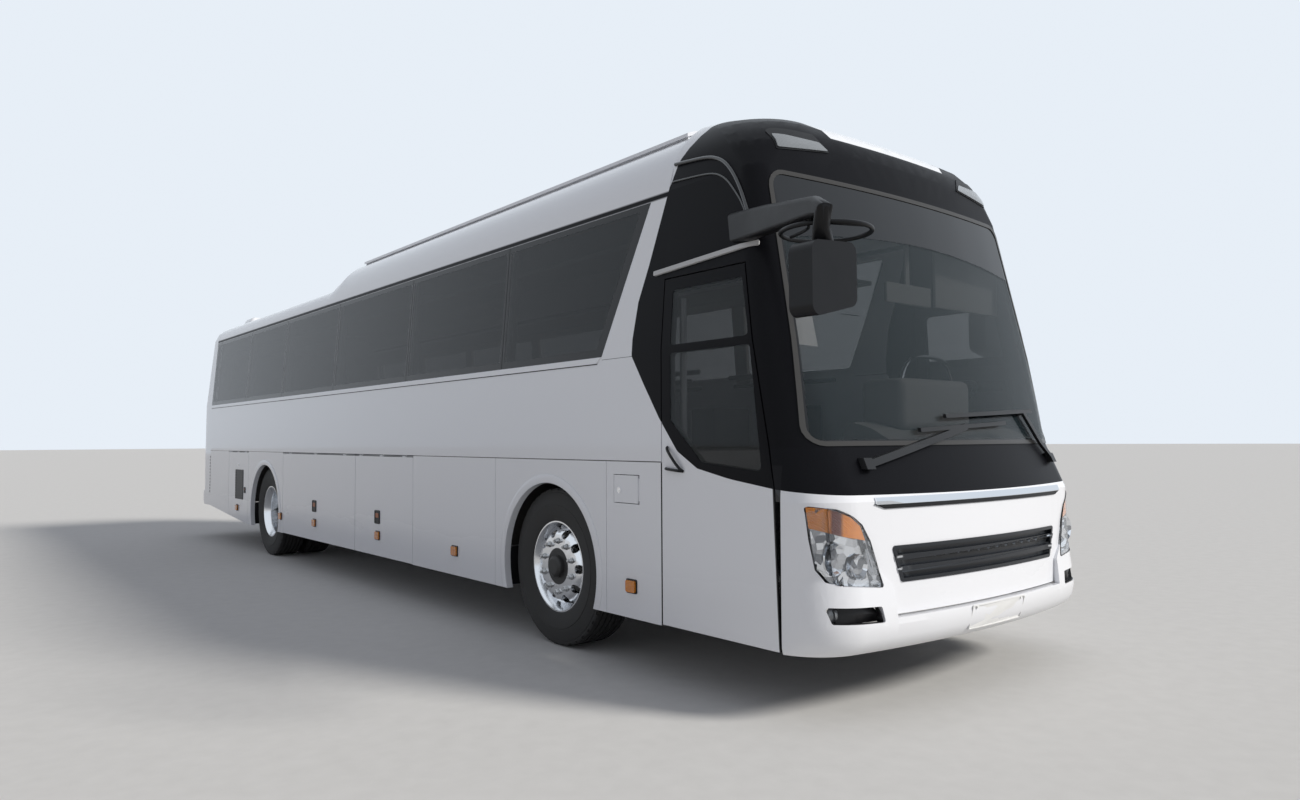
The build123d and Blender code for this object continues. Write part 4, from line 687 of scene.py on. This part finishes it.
# Service door grille: a black pressed grille of narrow slats behind the rear wheel, and a lock.
# Marks for the tail's fixing screws run up the corner joint.
GRILLE = oblong(3.91, 0.805, 0.345, 0.375)
for side in SIDES:
    body = "service_door_" + side
    skin = surface(body)
    grille = laid(side, GRILLE, skin, 0.001, 0.003, 0.2, 0.010)
    laid(side, GRILLE, skin, 0.006, 0.008, 0.2, 0.010, 0.010, grille)
    for slat in range(11):
        laid(side, oblong(3.91, 0.643 + slat * 0.0325, 0.325, 0.016), skin, 0.006, 0.006, 0.2, shape=grille)
    fitted("service_grille_" + side, grille, moulding, "black_plastic", body, 40)
    lock = laid(side, oblong(3.943, 1.05, 0.030, 0.022), skin, 0.006, 0.008, 0.05, 0.008)
    fitted("service_lock_" + side, lock, chrome, "chrome", body)
    corner_skin = surface("rear_bumper", "rear_wall", "skirts", "side_wall_" + side)
    screws = bmesh.new()
    for screw in range(12):
        head = oblong(5.40, 0.655 + screw * 0.044, 0.016, 0.026)
        laid(side, head, corner_skin, 0.003, 0.005, 0.05, 0.005, shape=screws)
    fitted("corner_screws_" + side, screws, moulding, "black_plastic")
flap_skin = surface("filler_flap")
flap_lock = laid("right", oblong(-4.167, 1.057, 0.034, 0.034), flap_skin, 0.005, 0.007, 0.05, 0.0165)
laid("right", oblong(-4.167, 1.057, 0.018, 0.006), flap_skin, 0.007, 0.004, 0.05, 0.002, shape=flap_lock)
fitted("flap_lock", flap_lock, chrome, "chrome", "filler_flap")

# Wheel arch lips: white mouldings riveted round each opening, with a turned-in edge.
# Each is spun about the axle, then cut level at the skirt's lower edge.
AXLE_Z = 0.518
SKIRT_Z = 0.322
AXLES = {"front": -3.38, "rear": 2.83}
WHEELS = [
    (axle, axle_y, side, sign)
    for axle, axle_y in AXLES.items() for side, sign in (("left", 1), ("right", -1))]
# distance from the middle of the coach, and radius
LIP = [(1.215, 0.5545), (1.2480, 0.5545), (1.2525, 0.562), (1.2530, 0.596), (1.2490, 0.612), (1.2440, 0.614),
       (1.2420, 0.572), (1.215, 0.560)]


def hooped(shape, section, centre, start, angle, steps):
    """A closed section, as distance out and radius, spun about the line of an axle."""
    turn = Matrix.Rotation(start, 3, "X")
    ring = [shape.verts.new(centre + turn @ Vector((x, 0, r))) for x, r in section]
    lines = [shape.edges.new(pair) for pair in zip(ring, ring[1:] + ring[:1])]
    bmesh.ops.spin(shape, geom=ring + lines, cent=centre, axis=(1, 0, 0), angle=angle, steps=steps,
                   use_merge=angle == FULL_TURN)


LIP_TURN = math.radians(232)
lips = bmesh.new()
for _, axle_y, _, sign in WHEELS:
    profile = [(sign * x, r) for x, r in LIP]
    hooped(lips, profile, Vector((0, axle_y, AXLE_Z)), -LIP_TURN / 2, LIP_TURN, 72)
    bmesh.ops.bisect_plane(lips, geom=[*lips.verts, *lips.edges, *lips.faces], plane_co=(0, 0, SKIRT_Z),
                           plane_no=(0, 0, -1), dist=1e-6, clear_outer=True)
bmesh.ops.holes_fill(lips, edges=[edge for edge in lips.edges if edge.is_boundary], sides=12)
bmesh.ops.recalc_face_normals(lips, faces=lips.faces)
fitted("arch_lips", lips, enamel, "paint_white", crease=35)

# Splash guards: flat black moulded sheets, 8 mm thick, hung before and behind each wheel.
# They are bolted to the wheel housings and end just above the skirt's lower edge.


def block(shape, low, high, edge, steps=2):
    """A block between two corners, with rounded edges."""
    low, high = Vector(low), Vector(high)
    made = bmesh.ops.create_cube(shape, size=1)["verts"]
    bmesh.ops.scale(shape, vec=high - low, verts=made)
    bmesh.ops.translate(shape, vec=(high + low) / 2, verts=made)
    edges = once(e for v in made for e in v.link_edges)
    bmesh.ops.bevel(shape, geom=edges, offset=edge, affect="EDGES", segments=steps, profile=0.5, material=-1)


GUARD_IN, GUARD_OUT = 0.80, 1.222
GUARD_LOW, GUARD_TOP, GUARD_THICK = SKIRT_Z + 0.01, 0.60, 0.008
guards = bmesh.new()
for _, axle_y, _, sign in WHEELS:
    inner, outer = sorted((sign * GUARD_IN, sign * GUARD_OUT))
    for front in (axle_y + 0.566, axle_y - 0.574):
        block(guards, (inner, front, GUARD_LOW), (outer, front + GUARD_THICK, GUARD_TOP), 0.003)
fitted("splash_guards", guards, moulding, "black_plastic", crease=40)

# Wheels: polished forged aluminium discs with oval hand holes, on dark cast hubs.
# Ten flanged steel nuts hold each disc, and the rear wheels are twins with deep dishes.
BOLTS, BOLT_R = 10, 0.1675
TRACK = 1.04
# how near the middle of the coach the disc turns dark and dull
DISH = {"front": 0.99, "rear": 0.80}
forged = {}
for axle, axle_y in AXLES.items():
    finish = Finish("forged_aluminium_" + axle, (0.80, 0.81, 0.83), 0.2, Metallic=1.0)
    along = finish.y - axle_y
    up_from = finish.z - AXLE_Z
    radius = (along * along + up_from * up_from).maths("SQRT")
    hub = radius.between(0.122, 0.118)
    deep = abs(finish.x).between(DISH[axle], DISH[axle] - 0.02)
    dark = hub.either(deep)
    swirl = finish.node("ShaderNodeTexNoise", {}, {"Vector": finish.node(
        "ShaderNodeCombineXYZ", {}, {0: radius * 260, 1: finish.x * 40, 2: 0}), "Scale": 1.0, "Detail": 2})
    finish.drive("Base Color", finish.blend(dark, (0.80, 0.81, 0.83), (0.020, 0.019, 0.018)))
    finish.drive("Metallic", 1 - dark)
    finish.drive("Roughness", 0.16 + swirl * 0.10 + dark * 0.35)
    finish.relief(swirl, 0.0006, 0.10)
    forged[axle] = finish
nut_steel = Finish("nut_steel", (0.50, 0.50, 0.50), 0.3, Metallic=1.0)
nut_steel.drive("Roughness", 0.25 + nut_steel.noise(120, 2) * 0.15)
# how far out from the wheel's middle the nuts seat
SEATS = {"front": 0.123, "rear": -0.151}
# radius at each end, start, length and number of sides: the flange, the hexagon and the stud
NUT = [(0.021, 0.0185, 0.0, 0.007, 20), (0.0165, 0.0165, 0.007, 0.017, 6), (0.0095, 0.0085, 0.024, 0.012, 12)]
for axle, axle_y, side, sign in WHEELS:
    body = f"wheel_{axle}_{side}"
    panel(body + "_disc", body, forged[axle], "wheel_aluminium", body, 32)
    nuts = bmesh.new()
    for i in range(BOLTS):
        turn = FULL_TURN * (i + 0.5) / BOLTS
        place = Vector((sign * (TRACK + SEATS[axle]), axle_y + BOLT_R * math.cos(turn),
                        AXLE_Z + BOLT_R * math.sin(turn)))
        for low, high, start, length, count in NUT:
            made = bmesh.ops.create_cone(nuts, cap_ends=True, segments=count, radius1=low, radius2=high,
                                         depth=length)["verts"]
            edges = [e for e in once(e for v in made for e in v.link_edges) if e.calc_face_angle(0) > 1.2]
            outwards = Matrix.Rotation(sign * math.pi / 2, 3, "Y")
            bmesh.ops.rotate(nuts, verts=made, cent=(0, 0, 0), matrix=outwards)
            bmesh.ops.translate(nuts, verts=made, vec=place + Vector((sign * (start + length / 2), 0, 0)))
            bmesh.ops.bevel(nuts, geom=edges, offset=0.0012, affect="EDGES", segments=1, profile=0.5,
                            material=-1)
    fitted(f"nuts_{axle}_{side}", nuts, nut_steel, "steel", body, 30)

# Tyres: black rubber, 295 mm wide, with five grooves round the tread and notched shoulders.
# Each is one profile spun about the axle; the rear wheels carry two a side.
GROOVES = [0.0, 0.042, 0.084]
# distance from the tyre's middle, and radius, from one bead over the tread to its middle
half_section = [
    (0.110, 0.292), (0.128, 0.300), (0.136, 0.318), (0.1455, 0.372), (0.1475, 0.405), (0.1440, 0.409),
    (0.1455, 0.415), (0.1400, 0.455), (0.1330, 0.487), (0.1300, 0.489), (0.1290, 0.504), (0.122, 0.5145),
    (0.112, 0.5170),
]
for groove in reversed(GROOVES):
    half_section += [(groove + 0.006, 0.5178), (groove + 0.0045, 0.5055)]
    if groove:
        half_section += [(groove - 0.0045, 0.5055), (groove - 0.006, 0.5178)]
section = half_section + [(-x, r) for x, r in reversed(half_section)]
TURNS = 120
rubber = Finish("tyre_rubber", (0.014, 0.014, 0.015), 0.75)
wear = rubber.noise(14, 5)
rubber.drive("Base Color", rubber.blend(wear, (0.010, 0.010, 0.011), (0.030, 0.028, 0.026)))
rubber.drive("Roughness", 0.66 + wear * 0.2)
rubber.grained(240, 3, 0.0010, 0.4)
TWIN = 0.337
for axle, axle_y, side, sign in WHEELS:
    tyres = bmesh.new()
    for middle in ((TRACK,) if axle == "front" else (TRACK, TRACK - TWIN)):
        centre = Vector((sign * middle, axle_y, AXLE_Z))
        hooped(tyres, section, centre, 0, FULL_TURN, TURNS)
        shoulder = []
        for face in tyres.faces:
            out = face.calc_center_median() - centre
            if 0.1225 < abs(out.x) < 0.1295 and math.hypot(out.y, out.z) > 0.500:
                turn = math.atan2(out.z, out.y) / FULL_TURN * TURNS
                if math.floor(turn) % 3 == 0:
                    shoulder.append(face)
        bmesh.ops.inset_individual(tyres, faces=shoulder, thickness=0.003, depth=-0.007)
    bmesh.ops.recalc_face_normals(tyres, faces=tyres.faces)
    fitted(f"tread_{axle}_{side}", tyres, rubber, "tyre", f"wheel_{axle}_{side}", 35, f"tyre_{axle}_{side}")

# Roof pod and tail: a white vent pod on the rear of the roof, and the lamps of the tail.
# The engine door has a bank of louvres and a blank number plate over it.
pod = bmesh.new()
base = bmesh.ops.create_cube(pod, size=1)["verts"]
bmesh.ops.scale(pod, vec=(1.76, 0.42, 0.20), verts=base)
bmesh.ops.translate(pod, vec=(0, 5.22, 3.03), verts=base)
crown = [vert for vert in base if vert.co.z > 3.1]
bmesh.ops.scale(pod, vec=(0.90, 0.72, 1), verts=crown, space=Matrix.Translation((0, -5.26, 0)))
pod_edges = once(edge for vert in base for edge in vert.link_edges)
bmesh.ops.bevel(pod, geom=pod_edges, offset=0.05, affect="EDGES", segments=4, profile=0.5, material=-1)
fitted("roof_pod", pod, enamel, "paint_white")
tail_lens = Finish("tail_lens", (0.45, 0.01, 0.01), 0.08, Coat_Weight=1.0)
CLEAR, RED, AMBER = (0.55, 0.55, 0.55, 1), (0.45, 0.008, 0.006, 1), (0.75, 0.24, 0.01, 1)
segment = tail_lens.node("ShaderNodeValToRGB", {"stops": [
    (0.0, CLEAR), (0.24, CLEAR), (0.25, RED), (0.62, RED), (0.63, AMBER), (0.99, AMBER)]},
    {0: tail_lens.z.between(0.72, 1.32)})
tail_lens.drive("Base Color", segment)
tail_lens.relief((tail_lens.z * 500).maths("SINE"), 0.001, 0.3)
panel("tail_lamp_lenses", "tail_lamps", tail_lens, "red_lens")
door_skin = surface("engine_door")
BANK = oblong(0, 0.955, 1.16, 0.46)
louvres = laid("rear", BANK, door_skin, 0.002, 0.004, 0.06, 0.02)
laid("rear", BANK, door_skin, 0.009, 0.010, 0.06, 0.02, 0.014, louvres)
for slat in range(12):
    for u in (-0.28, 0.28):
        blade = oblong(u, 0.765 + slat * 0.0345, 0.53, 0.018)
        laid("rear", blade, door_skin, 0.008, 0.007, 0.09, shape=louvres)
fitted("engine_louvres", louvres, moulding, "black_plastic", "engine_door", 40)
REAR_PLATE = oblong(0, 1.34, 0.52, 0.12)
rear_plate = laid("rear", REAR_PLATE, door_skin, 0.007, 0.007, 0.08, 0.012)
laid("rear", REAR_PLATE, door_skin, 0.010, 0.006, 0.08, 0.012, 0.006, rear_plate)
fitted("rear_plate", rear_plate, plate_paint, "paint_white", "engine_door", 40)
tail_skin = surface("rear_wall", "rear_window", "rear_bumper")
brake_lamp = laid("rear", oblong(0, 2.93, 0.50, 0.045), tail_skin, 0.010, 0.012, 0.1, 0.012)
for u in (-0.95, 0.95):
    laid("rear", oblong(u, 0.50, 0.14, 0.05), tail_skin, 0.006, 0.008, 0.05, 0.008, shape=brake_lamp)
red_lens = Finish("red_lens", (0.42, 0.01, 0.01), 0.12, Coat_Weight=1.0)
red_lens.relief((red_lens.x * 600).maths("SINE"), 0.001, 0.4)
fitted("brake_lamp_and_reflectors", brake_lamp, red_lens, "red_lens")

# Seats: moulded foam under dark woven cloth, on steel boxes.
# One crowned form is repeated for every cushion, back and headrest; the driver's seat is the same kind.
ROWS, ROW_PITCH, FIRST_ROW = 11, 0.78, -3.995
FLATNESS, CROWN = 0.92, 0.18


def crowned(shape, centre, size, lean=0.0):
    """A stuffed cushion: a crowned form whose sides pull in."""
    others = set(shape.verts)
    made = bmesh.ops.create_cube(shape, size=1)["verts"]
    edges = once(e for v in made for e in v.link_edges)
    bmesh.ops.subdivide_edges(shape, edges=edges, cuts=3, use_grid_fill=True)
    verts = [v for v in shape.verts if v not in others]
    bmesh.ops.smooth_vert(shape, verts=verts, factor=0.5, use_axis_x=True, use_axis_y=True, use_axis_z=True)
    for vert in verts:
        middle = (1 - (2 * vert.co.x) ** 2) * (1 - (2 * vert.co.y) ** 2)
        vert.co.z *= FLATNESS * (1 + CROWN * middle)
    low, high = (Vector(f(v.co[i] for v in verts) for i in range(3)) for f in (min, max))
    place = Matrix.Diagonal([s / (h - l) for s, h, l in zip(size, high, low)]).to_4x4()
    bmesh.ops.transform(shape, matrix=place, verts=verts)
    bmesh.ops.rotate(shape, verts=verts, cent=(0, 0, 0), matrix=Matrix.Rotation(lean, 3, "X"))
    bmesh.ops.translate(shape, vec=centre, verts=verts)


cloth = Finish("seat_cloth", (0.035, 0.038, 0.045), 0.85, Sheen_Weight=0.3)
cloth.drive("Base Color", cloth.blend(cloth.noise(30, 4), (0.020, 0.022, 0.028), (0.060, 0.062, 0.070)))
cloth.grained(60, 2, 0.0008, 0.2)
cushions = bmesh.new()
frames = bmesh.new()
BACK_LEAN = -0.155
for row in range(ROWS):
    y = FIRST_ROW + ROW_PITCH * row
    for x0 in (0.300, -1.140):
        for k in (0, 1):
            middle = x0 + 0.42 * k + 0.21
            crowned(cushions, (middle, y + 0.225, 1.675), (0.405, 0.44, 0.12))
            crowned(cushions, (middle, y + 0.545, 1.99), (0.405, 0.085, 0.72), BACK_LEAN)
            crowned(cushions, (middle, y + 0.592, 2.385), (0.28, 0.075, 0.13), BACK_LEAN)
        block(frames, (x0 + 0.21, y + 0.10, 1.281), (x0 + 0.63, y + 0.38, 1.61), 0.02)
        for x in (x0 + 0.012, x0 + 0.828):
            block(frames, (x - 0.012, y + 0.14, 1.80), (x + 0.012, y + 0.50, 1.835), 0.010)
crowned(cushions, (0.64, -4.68, 1.50), (0.46, 0.40, 0.13))
crowned(cushions, (0.64, -4.455, 1.86), (0.45, 0.085, 0.66), BACK_LEAN)
crowned(cushions, (0.64, -4.40, 2.23), (0.28, 0.07, 0.14), BACK_LEAN)
bmesh.ops.recalc_face_normals(cushions, faces=cushions.faces)
seats = fitted("seat_cushions", cushions, cloth, "seat_fabric", "root", 60, "seats")
seats.modifiers.remove(seats.modifiers["even shading"])
soft = seats.modifiers.new("soft", "SUBSURF")
soft.levels = soft.render_levels = 1
frame_grey = Finish("seat_frame", (0.10, 0.10, 0.11), 0.45).grained(200, 2, 0.0005, 0.25)
block(frames, (0.50, -4.84, 1.052), (0.78, -4.56, 1.435), 0.03)
fitted("seat_frames", frames, frame_grey, "grey_plastic", crease=40)

# Cabin trim: pale luggage racks over the seats, and pale covers on the window pillars.
# The dashboard, the steering wheel and a sun visor fill the front, with a handrail by the steps.
lining = Finish("cabin_lining", (0.46, 0.46, 0.45), 0.65).grained(160, 3, 0.0008, 0.3)
panel("rack_shelves", "luggage_racks", lining, "grey_plastic")
dash_grey = Finish("dash_grey", (0.20, 0.20, 0.20), 0.6).grained(300, 3, 0.0008, 0.35)
panel("dash_moulding", "dashboard", dash_grey, "grey_plastic")
panel("steering_rim", "steering_wheel", shell, "black_plastic", "steering_wheel")
# the side walls lean in above the sill
LEAN_IN = 0.081
pillars = bmesh.new()
for y in PANE_JOINTS[:-1]:
    for sign in (1, -1):
        others = set(pillars.verts)
        block(pillars, (-0.020, y - 0.075, 1.84), (0.020, y + 0.075, 2.70), 0.012)
        fresh = [v for v in pillars.verts if v not in others]
        leaning = Matrix.Rotation(-sign * LEAN_IN, 3, "Y")
        bmesh.ops.rotate(pillars, verts=fresh, cent=(0, y, 1.84), matrix=leaning)
        bmesh.ops.translate(pillars, verts=fresh, vec=(sign * 1.195, 0, 0))
fitted("pillar_covers", pillars, lining, "grey_plastic", crease=40)
cab = bmesh.new()
block(cab, (-0.181, -5.312, 2.14), (0.26, -5.288, 2.26), 0.010)
block(cab, (0.02, -5.30, 2.25), (0.06, -5.286, 2.62), 0.004)
block(cab, (0.38, -5.262, 2.16), (1.10, -5.240, 2.53), 0.010)
fitted("cab_mirror_and_visor", cab, dash_grey, "grey_plastic", crease=40)
hump = bmesh.new()
block(hump, (-0.20, -5.42, 1.40), (0.50, -5.12, 1.70), 0.05, 4)
fitted("dash_hump", hump, dash_grey, "grey_plastic", crease=40)
rail("handrail", [[(0.555, -4.87, 1.60), (0.555, -4.87, 1.885), (0.957, -4.87, 1.92), (1.15, -4.87, 1.848),
                   (1.19, -4.87, 1.60)]], 0.014, chrome)
paper_white = Finish("paper_white", (0.82, 0.83, 0.84), 0.8).grained(60, 2, 0.0005, 0.2)
paper = laid("front", [(-1.104, 1.828), (-0.984, 1.820), (-0.978, 2.085), (-1.098, 2.092)],
             surface("windscreen"), -0.014, 0.0008, 0.05, 0.008)
fitted("paper", paper, paper_white, "paint_white")

# Underbody: a welded steel frame, cast axles and moulded wheel housings, painted or left bare.
# The pieces keep their CAD shapes and take road-worn finishes.


def dress(finish, *names):
    """Give CAD nodes whose shape is right their finish."""
    for name in names:
        for holder in nodes[name].material_slots:
            holder.material = finish.material


frame_paint = Finish("frame_paint", (0.025, 0.025, 0.027), 0.55)
grime = frame_paint.noise(9, 5)
frame_paint.drive("Base Color", frame_paint.blend(grime, (0.016, 0.016, 0.018), (0.060, 0.054, 0.046)))
frame_paint.drive("Roughness", 0.45 + grime * 0.35)
cast_iron = Finish("cast_iron", (0.06, 0.057, 0.054), 0.7, Metallic=0.3).grained(120, 4, 0.002, 0.5)
bare_steel = Finish("bare_steel", (0.42, 0.42, 0.43), 0.35, Metallic=0.9)
bare_steel.drive("Roughness", 0.3 + bare_steel.noise(60, 3) * 0.2)
flooring = Finish("flooring", (0.16, 0.16, 0.17), 0.7).grained(300, 3, 0.001, 0.4)
dress(frame_paint, "underframe", "wheel_housings")
dress(cast_iron, "engine", "front_axle", "rear_axle", "knuckle_left", "knuckle_right")
dress(bare_steel, "hinges", "door_arms", "tie_rod")
dress(flooring, "floor", "luggage_bay")
